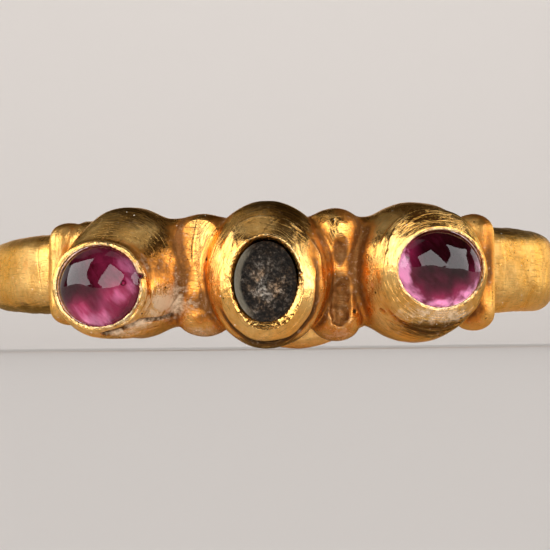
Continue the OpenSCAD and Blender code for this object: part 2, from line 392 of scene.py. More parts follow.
def ridge(p, at_low, at_mid, at_high, z_low, z_high, r, radius):
    """An upright half-round strip, bowed along its middle."""
    t = np.clip((p["z"] - z_low) / (z_high - z_low), 0, 1)
    at = at_low * (1 - t) + at_high * t + (at_mid - (at_low + at_high) / 2) * 4 * t * (1 - t)
    turn = np.radians(p["a"] - at)
    u, w = p["r"] * np.sin(turn), p["r"] * np.cos(turn)
    past = np.maximum(np.maximum(z_low - p["z"], p["z"] - z_high), 0)
    end = (2 * t - 1) ** 2
    return np.sqrt(u ** 2 + (w - r + 0.5 * end) ** 2 + past ** 2) - radius * (1 - 0.6 * end ** 2)


print("waists of the beads:", {name: k["waist"] for name, k in KNOTS.items()})

# %% [markdown]
# ## Wear in the metal
#
# The lower flanks of the outer cups are creased, and small pits are spread over the row. A bump in the
# material would fade at the outline and leave the mesh smooth. So each crease is a line through named
# places and each pit a named spot, and both push the skin itself inwards.

# %% Distances to a line and to a spot
def line_distance(p, points):
    """Distance to a line through named places, worked out only near it."""
    places = np.array([xyz(*q) for q in points])
    reach = 0.5
    low, high = places.min(0) - reach, places.max(0) + reach
    near = np.ones(p["x"].shape, bool)
    for i, key in enumerate("xyz"):
        near &= (p[key] > low[i]) & (p[key] < high[i])
    result = np.full(p["x"].shape, 9, np.float32)
    if near.any():
        spot = np.stack([p[key][near] for key in "xyz"], -1)
        best = np.full(len(spot), 9, np.float32)
        for a, b in zip(places[:-1], places[1:]):
            along = np.clip(((spot - a) @ (b - a)) / max(float((b - a) @ (b - a)), 1e-9), 0, 1)
            best = np.minimum(best, np.linalg.norm(spot - a - along[:, None] * (b - a), axis=1))
        result[near] = best
    return result


def spot_distance(p, at, z, r, size, power=2):
    """Distance to a place in units of three sizes: along the hoop, up and outward.

    A power over 2 makes the spot squarer.
    """
    u, w = local(p, at)
    parts = (u / size[0], (p["z"] - z) / size[1], (w - r) / size[2])
    return sum(np.abs(part) ** power for part in parts) ** (1 / power)


ONE_SIZE_UP = spot_distance(ring_points(0, 12, 0.3), 0, 0, 12, (0.1, 0.3, 0.1))
print("0.3 mm above a spot that is 0.3 mm tall:", round(float(ONE_SIZE_UP), 2), "sizes")

# %% Creases: each has its line, its depth and its width
CREASES = [
    ([(-30.5, -2.3, 12.35), (-28.8, -2.29, 12.42), (-26, -2.12, 12.38), (-23.56, -1.87, 12.25),
      (-21.57, -1.75, 11.68), (-19.8, -1.6, 11.3)], 0.17, 0.11),
    ([(-22.1, -0.6, 12.65), (-22.5, -1.02, 12.65), (-23.6, -1.47, 12.64), (-25.2, -1.84, 12.64),
      (-27.2, -2.04, 12.62)], 0.06, 0.04),
    ([(-27.5, -2.45, 12.05), (-24.5, -2.3, 11.85), (-22, -2.1, 11.45)], 0.06, 0.06),
    ([(-21, -1.5, 11.9), (-19.4, -1.3, 11.6), (-17.8, -1.15, 11.3)], 0.05, 0.05),
    ([(19.8, -1.55, 12.1), (21.2, -1.86, 12.15), (23.6, -2.08, 12.3), (27, -2.24, 12.42),
      (31, -2.27, 12.4), (34.5, -2.05, 12.4)], 0.1, 0.07),
    ([(21.2, -1.98, 12.0), (24.8, -2.24, 12.2), (28.5, -2.42, 12.2), (32, -2.42, 12.15)], 0.1, 0.065),
    ([(20.2, -2.05, 11.85), (22.6, -2.3, 11.9), (25.5, -2.48, 11.95)], 0.06, 0.05),
    ([(-12.5, -1.95, 11.8), (-11.2, -1.4, 11.8), (-10.8, -0.9, 11.85)], 0.05, 0.05),
    ([(10.2, 1.2, 11.7), (11.8, 0.95, 11.75), (13.6, 1.15, 11.7)], 0.04, 0.05),
]
PITS = [
    (-22.55, -0.2, 12.6, (0.1, 0.07, 0.2), 0.15),
    (-11.7, 0.4, 11.66, (0.05, 0.05, 0.08), 0.08), (-9.6, -0.1, 12.1, (0.05, 0.05, 0.08), 0.07),
    (15.6, -1.6, 11.5, (0.07, 0.06, 0.1), 0.09), (-9.4, -1.7, 11.6, (0.09, 0.12, 0.1), 0.1),
    (33, 2.3, 11.8, (0.05, 0.05, 0.06), 0.06), (-26, 1.9, 12.1, (0.04, 0.04, 0.06), 0.05),
]
print(len(CREASES), "creases and", len(PITS), "pits")

# %% The whole of the gold
REACH = dict(cup=17.5, knot=10, collar=8)


def near(p, at, reach):
    return bool((np.abs(p["a"] - at) < reach).any())


def left_knots_flat(p, f):
    """The left knot's front was filed flat, wide at its top and down to a point at its waist."""
    u, w = local(p, KNOTS["left_knot"]["at"] + 0.4)
    return trim(f, w - 11.58 + 0.1 * (p["z"] - 0.3) + 0.04 * u, 0.03)


def right_knots_hollows(p, f):
    """The right knot is crinkled at its top and broken open below it, in a small and a large hollow."""
    crinkle = np.exp(-(spot_distance(p, 12, 1.6, 11.6, (0.8, 0.55, 0.8)) ** 2))
    f = f + 0.012 * crinkle * uneven(p, CRINKLE)
    torn = 0.09 * uneven(p, MIDDLING) + 0.045 * uneven(p, FINE)
    scoop = (spot_distance(p, 12.7, -1.25, 12.2, (0.55, 1.14, 0.76), 2.8) + torn - 1) * 0.5
    pit = (spot_distance(p, 12.85, 0.62, 11.95, (0.32, 0.6, 0.4), 2.4) + 1.6 * torn - 1) * 0.3
    return trim(trim(f, -scoop, 0.1), -pit, 0.11)


def gold(p):
    f = hoop(p)
    for name, k in KNOTS.items():
        if near(p, k["at"], REACH["collar"]):
            form = knot_form(p, name)
            if name == "left_knot":
                form = left_knots_flat(p, form)
            f = solder(f, form, 0.12 if "collar" in name else 0.3)
    if near(p, -10, REACH["knot"]):
        f = solder(f, ridge(p, -10.6, -10.3, -10.3, -1.95, 1.75, 11.5, 0.24), 0.14)
        f = solder(f, ridge(p, -16.6, -17.2, -16.8, -1.3, 1.5, 11.2, 0.26), 0.3)
    if near(p, 10, REACH["knot"]):
        f = solder(f, ridge(p, 9.0, 9.7, 8.6, -2.1, 1.9, 11.5, 0.34), 0.14)
        f = right_knots_hollows(p, f)
    if near(p, 42, REACH["collar"]):
        dent = (spot_distance(p, 42.9, -1.6, 12.1, (0.3, 0.36, 0.62)) - 1) * 0.4
        f = trim(f, -dent, 0.06)
    for name, cup in CUPS.items():
        if near(p, cup["at"], REACH["cup"]):
            f = solder(f, cup_form(p, name), 0.2)
    f = f + 0.016 * uneven(p, SLOW) + 0.012 * uneven(p, MIDDLING) + 0.0025 * uneven(p, FINE)
    for points, depth, width in CREASES:
        if near(p, points[0][0], 20):
            f = f + depth * np.exp(-(line_distance(p, points) / width) ** 2)
    for at, z, r, size, depth in PITS:
        if near(p, at, 3):
            f = f + depth * np.exp(-spot_distance(p, at, z, r, size) ** 2)
    for name, cup in CUPS.items():
        if near(p, cup["at"], REACH["cup"]):
            f = trim(f, -cup_hollow(p, name), 0.06 if name == "middle" else 0.04)
    return trim(f, HOLE_R - p["r"], 0.06).astype(np.float32)


print("with all soldered on and the hole cut, they lie", np.round(-gold(IN_THE_HOOP), 2), "mm deep")

# %% [markdown]
# ## From a distance to a mesh
#
# The distance is sampled on a grid that bends round with the ring: steps of angle, distance and height.
# The steps are small at the front, where the detail is, and long at the back. A net is then laid over the
# grid: every cell that the skin passes through gets one point, and every grid edge that the skin crosses
# gets one face. Last, each point is slid along the slope of the distance until it lies on the skin.

# %% The grid
def angle_steps(front, back):
    """Angles from -180 to 180 whose steps grow from the front's to the back's."""
    right = [0.0]
    while right[-1] < 180:
        t = ease(np.float64(right[-1]), 47, 75)
        right.append(right[-1] + math.degrees((front * (1 - t) + back * t) / 12))
    right = np.array(right) * 180 / right[-1]
    return np.concatenate([-right[:0:-1], right[:-1]])


STEP = 0.04
ANGLES = angle_steps(STEP, 4 * STEP)
REACHES = np.arange(HOLE_R - 0.13, 13.1, STEP)
HEIGHTS = np.arange(-3.12, 2.9, STEP)
print("grid", len(ANGLES), "x", len(REACHES), "x", len(HEIGHTS))


SLICES_AT_ONCE = 6


def sample_grid():
    values = np.empty((len(ANGLES), len(REACHES), len(HEIGHTS)), np.float32)
    for i in range(0, len(ANGLES), SLICES_AT_ONCE):
        a = ANGLES[i:i + SLICES_AT_ONCE]
        block = np.broadcast_arrays(a[:, None, None], REACHES[None, :, None], HEIGHTS[None, None, :])
        values[i:i + SLICES_AT_ONCE] = gold(ring_points(*block))
    return values


clock = time.time()
values = sample_grid()
print("sampled in", round(time.time() - clock, 1), "s")

# %% The net
def lay_net(values):
    """Points in grid steps and four-cornered faces, closed round the ring."""
    values = np.concatenate([values, values[:1]])
    inside = values < 0
    count = np.zeros(tuple(n - 1 for n in inside.shape), np.int8)
    corners = [(i, j, k) for i in (0, 1) for j in (0, 1) for k in (0, 1)]
    size = count.shape
    for i, j, k in corners:
        count += inside[i:i + size[0], j:j + size[1], k:k + size[2]]
    cells = np.argwhere((count > 0) & (count < 8))
    number = np.full(size, -1, np.int32)
    number[tuple(cells.T)] = np.arange(len(cells))
    total = np.zeros((len(cells), 3))
    crossings = np.zeros(len(cells))
    for axis in range(3):
        others = [n for n in range(3) if n != axis]
        for first in (0, 1):
            for second in (0, 1):
                start = np.zeros(3, int)
                start[others[0]], start[others[1]] = first, second
                end = start.copy()
                end[axis] = 1
                a = values[tuple((cells + start).T)]
                b = values[tuple((cells + end).T)]
                cross = (a < 0) != (b < 0)
                share = np.where(cross, a / np.where(a == b, 1, a - b), 0)
                total[cross] += (start + (end - start) * share[:, None])[cross]
                crossings += cross
    points = cells + total / crossings[:, None]
    faces = []
    for axis in range(3):
        before = [slice(None)] * 3
        after = [slice(None)] * 3
        before[axis], after[axis] = slice(0, -1), slice(1, None)
        change = inside[tuple(before)].astype(np.int8) - inside[tuple(after)].astype(np.int8)
        others = [n for n in range(3) if n != axis]
        edges = np.argwhere(change != 0)
        for n in others:
            top = size[n] if n else size[n] + 1
            edges = edges[(edges[:, n] > (0 if n else -1)) & (edges[:, n] < top)]
        if axis != 0:
            edges = edges[edges[:, 0] < size[0]]
        out = change[tuple(edges.T)] > 0
        quad = []
        for first, second in ((-1, -1), (0, -1), (0, 0), (-1, 0)):
            cell = edges.copy()
            cell[:, others[0]] += first
            cell[:, others[1]] += second
            cell[:, 0] %= size[0]
            quad.append(number[tuple(cell.T)])
        quad = np.stack(quad, 1)
        flip = ~out if axis == 1 else out
        quad[flip] = quad[flip][:, ::-1]
        faces.append(quad)
    return points, np.concatenate(faces)


net, faces = lay_net(values)
print("a net of", len(net), "points and", len(faces), "faces")

# %% From grid steps to places, and onto the skin
POINTS_AT_ONCE = 20000


def slope_of(x, y, z, h=0.01):
    """The distance and its slope at free points, sorted round the ring so that far parts are skipped."""
    order = np.argsort(np.arctan2(x, -y))
    value = np.empty(len(x), np.float32)
    grad = np.empty((len(x), 3), np.float32)
    for i in range(0, len(x), POINTS_AT_ONCE):
        pick = order[i:i + POINTS_AT_ONCE]
        place = np.stack([x[pick], y[pick], z[pick]], 1)
        value[pick] = gold(from_xyz(place))
        for n in range(3):
            step = np.zeros(3)
            step[n] = h
            grad[pick, n] = (gold(from_xyz(place + step)) - gold(from_xyz(place - step))) / (2 * h)
    return value, grad


def net_to_places(points):
    count = len(ANGLES)
    turns = np.concatenate([ANGLES, ANGLES[:1] + 360])
    a = np.interp(points[:, 0], np.arange(count + 1), turns)
    r = np.interp(points[:, 1], np.arange(len(REACHES)), REACHES)
    z = np.interp(points[:, 2], np.arange(len(HEIGHTS)), HEIGHTS)
    t = np.radians(a)
    return np.stack([r * np.sin(t), -r * np.cos(t), z], 1)


places = net_to_places(net)
for turn in range(2):
    value, grad = slope_of(*places.T)
    steep = np.maximum((grad ** 2).sum(1), 0.05)
    move = -(value / steep)[:, None] * grad
    move *= np.minimum(1, 0.03 / np.maximum(np.linalg.norm(move, axis=1), 1e-9))[:, None]
    places = places + move
print("before the last slide, the worst point was", round(float(np.abs(value).max()), 3), "mm off the skin")

# %% Make the gold's mesh
def mesh_object(name, places, faces):
    mesh = bpy.data.meshes.new(name)
    mesh.vertices.add(len(places))
    mesh.vertices.foreach_set("co", np.asarray(places, np.float32).ravel())
    mesh.loops.add(faces.size)
    mesh.loops.foreach_set("vertex_index", faces.astype(np.int32).ravel())
    mesh.polygons.add(len(faces))
    mesh.polygons.foreach_set("loop_start", np.arange(0, faces.size, faces.shape[1], dtype=np.int32))
    mesh.update(calc_edges=True)
    mesh.validate()
    mesh.polygons.foreach_set("use_smooth", np.ones(len(mesh.polygons), bool))
    thing = bpy.data.objects.new(name, mesh)
    bpy.context.scene.collection.objects.link(thing)
    return thing


metal = mesh_object("ring_gold", places, faces)
facing = np.cross(places[faces[:, 2]] - places[faces[:, 0]], places[faces[:, 3]] - places[faces[:, 1]])
outward = (facing * grad[faces[:, 0]]).sum(1) > 0
print(len(places), "points and", len(faces), "faces,", round(100 * float(outward.mean()), 1), "% facing out")

# %% Thin the mesh where the gold is smooth
TRIANGLES_KEPT = 190000
share = TRIANGLES_KEPT / (2 * len(faces))
if share < 1:
    thin = metal.modifiers.new("thin", "DECIMATE")
    thin.ratio = share
    bpy.context.view_layer.update()
    evaluated = metal.evaluated_get(bpy.context.evaluated_depsgraph_get())
    lean = bpy.data.meshes.new_from_object(evaluated)
    metal.modifiers.clear()
    heavy, metal.data = metal.data, lean
    bpy.data.meshes.remove(heavy)
    lean.polygons.foreach_set("use_smooth", np.ones(len(lean.polygons), bool))
print(len(metal.data.polygons), "faces after", round(time.time() - clock, 1), "s")

# %% [markdown]
# ## What the shaders need to know
#
# Dirt and solder stains stay in hollows, and rubbing brightens edges. The distance tells both: a short
# way out from the skin it should have grown by that way, and in a hollow it has grown by less. The
# results are kept as named values on the mesh, so the materials can read them. The slope also gives exact
# normals, which keep the thinned mesh smooth in its reflections.

# %% Hollows, edges and exact normals
FEELERS = (("hollow", 0.32, 1), ("deep_hollow", 0.75, 1), ("edge", 0.1, -1))


def measure_skin(thing):
    mesh = thing.data
    co = np.empty(len(mesh.vertices) * 3, np.float32)
    mesh.vertices.foreach_get("co", co)
    co = co.reshape(-1, 3)
    value, grad = slope_of(*co.T, h=0.015)
    normal = grad / np.maximum(np.linalg.norm(grad, axis=1), 1e-6)[:, None]
    found = {}
    for label, way, sign in FEELERS:
        spot = co + normal * way * sign
        order = np.argsort(np.arctan2(spot[:, 0], -spot[:, 1]))
        far = np.empty(len(co), np.float32)
        for i in range(0, len(co), POINTS_AT_ONCE):
            pick = order[i:i + POINTS_AT_ONCE]
            far[pick] = gold(from_xyz(spot[pick]))
        found[label] = np.clip(1 - sign * far / way, 0, 1)
    return co, normal, found


def keep_value(mesh, label, amount):
    """Keep one value a point under a name that the materials read."""
    mesh.attributes.new(label, "FLOAT", "POINT").data.foreach_set("value", amount.astype(np.float32))


co, normal, found = measure_skin(metal)
for label, amount in found.items():
    keep_value(metal.data, label, amount)
    print(label, "mean", round(float(amount.mean()), 3), "most", round(float(amount.max()), 3))

# %% Brown solder stains and painted shade, pale film and painted sheen, dark skin and painted shade: angle, height, distance, three sizes and strength
# The stains are partly brown solder stains and partly painted shade in the corners between cups, knots,
# ridges and collars.
STAINS_AND_SHADE = [
    (-17.2, 0.0, 11.5, (0.6, 1.6, 0.7), 0.85), (-13.2, -1.15, 11.7, (0.75, 0.5, 0.6), 1.0),
    (-13.2, -1.75, 11.7, (0.3, 0.25, 0.5), 0.8), (-9.4, 1.9, 11.4, (0.5, 0.5, 0.6), 0.8),
    (-16.8, 1.6, 11.2, (0.5, 0.5, 0.6), 0.8), (12.7, -1.2, 11.5, (0.55, 1.05, 0.6), 1.0),
    (12.9, 0.6, 11.6, (0.3, 0.45, 0.5), 1.0), (8.6, 0.3, 11.9, (0.45, 1.7, 0.8), 0.8),
    (16.6, 0.4, 11.5, (0.6, 1.6, 0.7), 0.9), (15.6, 1.9, 11.2, (0.5, 0.6, 0.6), 0.8),
    (42.9, -1.6, 11.7, (0.35, 0.4, 0.7), 0.9), (-19.8, -0.2, 11.8, (0.7, 1.2, 0.8), 0.6),
    (18.6, -0.1, 12, (0.7, 1.3, 0.8), 0.5), (-9.6, -0.6, 11.9, (0.25, 1.5, 0.8), 0.7),
    (-17.3, 0.5, 11.4, (0.42, 1.5, 0.6), 1.1), (-20.2, 0.1, 12.1, (0.85, 0.9, 0.8), 1.0),
    (45.1, 0.3, 11.7, (0.2, 1.4, 0.5), 1.0), (-11.2, -0.2, 11.5, (0.3, 1.2, 0.5), 0.9),
    (-13.2, -1.2, 11.7, (0.5, 0.4, 0.5), 1.1), (7.5, 0.2, 12.25, (0.22, 1.4, 0.4), 1.0),
    (9.2, 0.2, 11.7, (0.35, 1.5, 0.5), 1.1),
]
# The pale film is partly a dull film and partly a painted sheen, mostly on lower flanks that would mirror the
# floor.
PALE_FILM_AND_SHEEN = [
    (-20.4, -1.25, 11.8, (0.8, 0.45, 0.7), 1.15), (-23.6, -2.0, 12.2, (0.6, 0.22, 0.5), 0.8),
    (-18.6, -1.0, 11.4, (0.5, 0.55, 0.6), 0.9), (-13.4, -2.35, 11.4, (0.7, 0.2, 0.6), 0.7),
    (13.2, -2.5, 11.4, (0.6, 0.2, 0.6), 0.45), (-27.5, -2.3, 12.1, (0.7, 0.16, 0.5), 0.8),
    (29.5, -1.72, 12.5, (1.5, 0.24, 0.4), 0.8), (-22.5, 0.2, 12.65, (0.2, 0.4, 0.3), 0.45),
]
# Dark skin is partly a dark patina and partly painted shade on the tops of the cups, under them and at the
# right cup's side.
DARK_SKIN_AND_SHADE = [
    (30, -2.32, 12.25, (1.7, 0.4, 0.7), 1.1), (35.5, -1.95, 12.4, (0.75, 0.36, 0.5), 1.0),
    (35.6, 1.9, 12, (0.9, 0.5, 0.7), 0.85), (28.5, 2.5, 11.8, (1.2, 0.3, 0.7), 0.5),
    (38.6, 0.2, 12.3, (0.2, 1.5, 0.5), 0.9), (4.2, 2.15, 11.9, (0.75, 0.55, 0.7), 0.95),
    (-0.5, 2.55, 11.8, (1.4, 0.35, 0.7), 0.8), (0, -2.78, 12.0, (1.8, 0.32, 0.55), 1.05),
    (-28, 2.4, 11.5, (1.3, 0.42, 0.7), 1.0), (-30, -2.45, 12, (0.9, 0.2, 0.5), 0.6),
    (-25.5, 2.15, 11.8, (1.2, 0.45, 0.7), 1.0), (36.5, 2.0, 12.2, (0.8, 0.4, 0.6), 0.9),
    (0.5, 2.5, 11.6, (1.2, 0.42, 0.7), 1.1),
]
print(len(STAINS_AND_SHADE), "stains,", len(PALE_FILM_AND_SHEEN), "patches of pale film,", len(DARK_SKIN_AND_SHADE), "of dark skin")

# %% Put the marks on the metal
def marked(co, spots):
    """How much each point lies in soft-edged spots."""
    p = from_xyz(co)
    amount = np.zeros(len(co), np.float32)
    for at, z, r, size, much in spots:
        amount = np.maximum(amount, much * np.exp(-0.7 * spot_distance(p, at, z, r, size) ** 2))
    return amount


def shaded_hoop_edges(co):
    """Painted shade: the hoop's lower edge is darkened at the left, and its upper edge at the right."""
    p = from_xyz(co)
    a, r = p["a"], p["r"]
    half = plain_width(a) / 2
    left = ease(-a, 46, 50) * ease(-co[:, 2], half * 0.5, half * 0.95)
    right = ease(a, 47, 52) * ease(co[:, 2], half * 0.45, half * 0.95)
    return 0.9 * np.maximum(left, right) * (1 - ease(np.abs(a), 80, 130)) * (r > HOLE_R + 0.1)


def grooved(co):
    """How deep each point lies in creases, pits, grooves and the line round each stone, for the dirt there
    and for painted shade.
    """
    p = from_xyz(co)
    amount = np.zeros(len(co), np.float32)
    for points, depth, width in CREASES:
        amount = np.maximum(amount, depth * 8 * np.exp(-(line_distance(p, points) / width) ** 2))
    for at, z, r, size, depth in PITS:
        amount = np.maximum(amount, 2 * np.exp(-spot_distance(p, at, z, r, size) ** 2))
    for name, cup in CUPS.items():
        u, w = local(p, cup["at"])
        side, c, t = oval(u, p["z"], cup["mouth"], [v / 2 for v in cup["rim"]])
        on_cup = (np.abs(u) < 2.6) & (w > 11.6) & (side > -0.25)
        amount = np.maximum(amount, 5.5 * flank_grooves(name, w, c, t) * on_cup)
        if name != "middle":
            # The dark line round each stone's opening is painted shade in the gap at the lip.
            out, c, t = oval(u, p["z"], cup["mouth"], [v / 2 for v in cup["open"]])
            seam = np.exp(-((out + 0.03 + 0.035 * uneven(p, FINE)) / 0.05) ** 2)
            seam = seam * (w > cup["reach"][1] - 0.3)
            if name == "left":
                seam = seam * (0.35 + 0.65 * toward(c, t, -35, 85))
            amount = np.maximum(amount, seam)
    return np.clip(amount, 0, 1)


def satin(co):
    """The hoop and its collars are satin, the row is burnished, and a dull film lies on all that faces up."""
    hoop_part = ease(np.abs(from_xyz(co)["a"] - 0.2), 40.5, 43)
    return np.maximum(hoop_part, 0.7 * ease(normal[:, 2], 0.3, 0.75))


for label, amount in (("groove_dirt_and_shade", grooved(co)), ("stain", marked(co, STAINS_AND_SHADE)), ("satin", satin(co)),
                      ("pale_film_and_sheen", marked(co, PALE_FILM_AND_SHEEN)),
                      ("dark_skin", np.maximum(marked(co, DARK_SKIN_AND_SHADE), shaded_hoop_edges(co)))):
    keep_value(metal.data, label, amount)
    print(label, "is on a share of the points of", round(float((amount > 0.3).mean()), 3))

# %% The bedding under the two stones
def under_stones(co):
    """Where the seats are taken to be bedded with pale paste, which throws light back through the stones."""
    p = from_xyz(co)
    amount = np.zeros(len(co), np.float32)
    for name in ("left", "right"):
        cup = CUPS[name]
        u, w = local(p, cup["at"])
        out, c, t = oval(u, p["z"], cup["mouth"], [v / 2 for v in cup["open"]])
        inside_seat = (out < 0.02) * ease(cup["reach"][1] - 0.3 - w, -0.1, 0.1) * (w > 10.8)
        amount = np.maximum(amount, inside_seat)
    return amount


bedding = under_stones(co)
keep_value(metal.data, "bedding", bedding)
print("bedding is on a share of the points of", round(float((bedding > 0.5).mean()), 3))

# %% Directions for the brush and burnisher: round each cup, and along the hoop
def brushing(co):
    p = from_xyz(co)
    way = np.stack([np.radians(p["a"]) * 11, p["r"], p["z"]], 1)
    for index, cup in enumerate(CUPS.values()):
        u, w = local(p, cup["at"])
        out, c, s = oval(u, p["z"], cup["mouth"], [v / 2 for v in cup["open"]])
        on_cup = (np.abs(u) < 2.55) & (w > 10.6)
        round_it = np.stack([np.arctan2(s, c) * 2, w + 20 * index, out], 1)
        way[on_cup] = round_it[on_cup]
    return way


brush = brushing(co).astype(np.float32)
metal.data.attributes.new("brush", "FLOAT_VECTOR", "POINT").data.foreach_set("vector", brush.ravel())
print("brush directions for", len(brush), "points")

# %% Bring the gold to metres and hang it on the ring
metal.data.transform(Matrix.Scale(MM, 4))
metal.data.normals_split_custom_set_from_vertices([tuple(n) for n in normal.tolist()])
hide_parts("gold_ring")
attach(metal, "root")
print("gold ready", round(time.time() - clock, 1), "s")

# %% [markdown]
# ## The stones
#
# A cabochon is a pebble of clear stone ground to a dome. Its seat is flat, its girdle is hidden by the
# lip, and its dome is never quite even. Each is made as rings of points from the foot over the girdle to
# the top, with a slow unevenness so that reflections bend as on hand-ground stone. Each point also keeps
# how much light gathers there, which the stones' material reads.

# %% Where light gathers in a stone, as seen from the front: place, size and strength of each spot
GLOW = {
    "left": [(-0.1, -0.84, 0.6, 0.28, 0.78), (0.48, -0.24, 0.3, 0.28, 0.85), (0.58, 0.55, 0.38, 0.26, 0.6),
             (0.85, 0.1, 0.22, 0.4, 0.7), (-0.55, -0.5, 0.3, 0.18, 0.5)],
    "right": [(-0.86, 0.0, 0.22, 0.62, 1.25), (0.1, -0.88, 0.75, 0.24, 0.88), (0.92, -0.1, 0.16, 0.5, 0.75),
              (-0.62, -0.64, 0.25, 0.22, 0.8), (0.66, -0.6, 0.28, 0.26, 0.7), (-0.74, 0.6, 0.16, 0.2, 0.35)],
}
GIRDLE_SEEN = 12.55
HALF_WIDE, HALF_TALL = 1.58, 1.54
LEAST_LIGHT = 0.015


def light_gathered(points, cup_name):
    cup = CUPS[cup_name]
    turn = math.radians(cup["at"])
    seen = points[:, 0] * math.cos(turn) - points[:, 1] * math.sin(turn)
    across = (seen - GIRDLE_SEEN * math.sin(turn) - cup["mouth"][0] * math.cos(turn)) / HALF_WIDE
    up = (points[:, 2] - cup["mouth"][1]) / HALF_TALL
    amount = np.full(len(points), LEAST_LIGHT)
    for x, z, wide, tall, much in GLOW[cup_name]:
        amount += much * np.exp(-((across - x) / wide) ** 2 - ((up - z) / tall) ** 2)
    return np.clip(amount, 0, 1)


print("spots of gathered light:", {name: len(spots) for name, spots in GLOW.items()})

# %% Rings of points, closed at both ends, and their mesh
def ring_faces(rings, turn, top, foot):
    """Four-cornered faces between rings of points, and fans to the point at either end."""
    faces = []
    for i in range(rings - 1):
        for j in range(turn):
            k = (j + 1) % turn
            faces.append((i * turn + j, i * turn + k, (i + 1) * turn + k, (i + 1) * turn + j))
    last = (rings - 1) * turn
    faces += [(last + j, last + (j + 1) % turn, top) for j in range(turn)]
    faces += [((j + 1) % turn, j, foot) for j in range(turn)]
    return faces


def set_in_cup(name, cup, points, faces, kept):
    """A smooth mesh from points in the cup's own directions, brought to metres and turned to its place."""
    mesh = bpy.data.meshes.new(name)
    mesh.from_pydata(points.tolist(), [], faces)
    mesh.polygons.foreach_set("use_smooth", np.ones(len(mesh.polygons), bool))
    for label, amount in kept.items():
        keep_value(mesh, label, amount)
    mesh.transform(Matrix.Scale(MM, 4) @ Matrix.Rotation(math.radians(cup["at"]), 4, "Z"))
    thing = bpy.data.objects.new(name, mesh)
    bpy.context.scene.collection.objects.link(thing)
    print(name, len(mesh.polygons), "faces")
    return thing


# %% A cabochon's mesh
DOME_RISE = 0.62


def cabochon(name, cup_name, seed, turn=72, rows=40):
    cup = CUPS[cup_name]
    mid_x, mid_z = cup["mouth"]
    reach, rise = cup["reach"][1], DOME_RISE
    foot, girdle = reach - cup["deep"] + SEAT_GAP, reach - 0.25
    half = np.array(cup["open"]) / 2
    rings = [(foot, half - 0.2, 1), (foot + 0.03, half - 0.165, 1), (girdle - 0.1, half - 0.08, 1)]
    for a in np.linspace(0, math.pi / 2, rows)[:-1]:
        rings.append((girdle + (reach + rise - girdle) * math.sin(a), half - 0.06, math.cos(a)))
    around = np.linspace(0, 2 * math.pi, turn, endpoint=False)
    points = []
    for w, size, share in rings:
        for b in around:
            points.append((mid_x + size[0] * share * math.cos(b), -w, mid_z + size[1] * share * math.sin(b)))
    top = len(points)
    points.append((mid_x, -(reach + rise), mid_z))
    points.append((mid_x, -foot, mid_z))
    points = np.array(points)
    ground = 1 - ease(-points[:, 1], girdle - 0.05, girdle + 0.12)
    wave, ripple = waves(2.4, seed, 5), waves(1.1, seed + 1, 6)
    p = dict(x=points[:, 0], y=points[:, 1], z=points[:, 2])
    dome = ease(-points[:, 1], girdle, girdle + 0.3)
    points[:, 1] += dome * (0.045 * (uneven(p, wave) + 1) + 0.012 * (uneven(p, ripple) + 1))
    kept = dict(ground=ground, gathered=light_gathered(points, cup_name))
    return set_in_cup(name, cup, points, ring_faces(len(rings), turn, top, top + 1), kept)


left_gem = cabochon("left_cabochon", "left", 5)
right_gem = cabochon("right_cabochon", "right", 9)
for gem, node in ((left_gem, "left_stone"), (right_gem, "right_stone")):
    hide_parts(node)
    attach(gem, "root")

# %% [markdown]
# ## The cement
#
# Old setting cement is a dry, dark grit. It fills the floor of the empty cup, climbs its left wall, and
# is paler in its middle and darker towards the rim. A flat disc would look like card, so its bed is a
# fine disc of points, raised and lowered by waves of three sizes and by seeded grains.

# %% The cement's mesh
def cement(name, turn=150, rows=46):
    cup = CUPS["middle"]
    base = cup["reach"][1] - cup["deep"] + SEAT_GAP
    half = np.array(cup["open"]) / 2
    points = []
    around = np.linspace(0, 2 * math.pi, turn, endpoint=False)
    draw = np.random.default_rng(41)
    shares = [1.0] * 2 + list(np.linspace(1, 0.02, rows))
    for row, share in enumerate(shares):
        for b in around:
            if row == 0:
                w, size = base, half - 0.2
            elif row == 1:
                w, size = base + 0.1, half - 0.17
            else:
                left = max(0, math.cos(b - math.pi)) ** 1.5
                climb = ease(np.float64(share), 0.8, 1.0) * (0.1 + 0.42 * left)
                w = base + 0.72 - 0.12 * (1 - share ** 2) + climb
                size = half - (0.13 - 0.1 * (w - base - 0.9))
            points.append((size[0] * share * math.cos(b), w, size[1] * share * math.sin(b)))
    points = np.array(points)
    p = dict(x=points[:, 0], y=np.full(len(points), 3.0), z=points[:, 2])
    top = np.repeat(np.array([0, 0] + [1 - ease(np.float64(s), 0.86, 1.0) * 0.7 for s in shares[2:]]), turn)
    lump = 0.06 * uneven(p, waves(1.1, 51)) + 0.07 * uneven(p, waves(0.42, 52))
    lump = lump + 0.035 * uneven(p, waves(0.17, 53, 12))
    points[:, 1] += top * (lump + 0.012 * draw.normal(size=len(points)))
    points = np.stack([points[:, 0] + cup["mouth"][0], -points[:, 1], points[:, 2] + cup["mouth"][1]], 1)
    count = len(points)
    last = (len(shares) - 1) * turn
    points = np.concatenate([points, [points[last:].mean(0), [cup["mouth"][0], -base, cup["mouth"][1]]]])
    round_share = np.append(np.repeat(shares, turn), (0, 0))
    across = (points[:, 0] - cup["mouth"][0]) / half[0]
    up = (points[:, 2] - cup["mouth"][1]) / half[1]
    wall = ease(round_share, 0.82, 0.89) * ease(-across, 0.3, 0.7)
    # Paler in the middle, darker towards the rim.
    paler_middle = 1 - ease(np.hypot(across + 0.05, up + 0.05), 0.1, 0.75)
    faces = ring_faces(len(shares), turn, count, count + 1)
    return set_in_cup(name, cup, points, faces, dict(wall=wall, paler_middle=paler_middle))


bed = cement("setting_cement")
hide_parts("cement_bed")
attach(bed, "root")

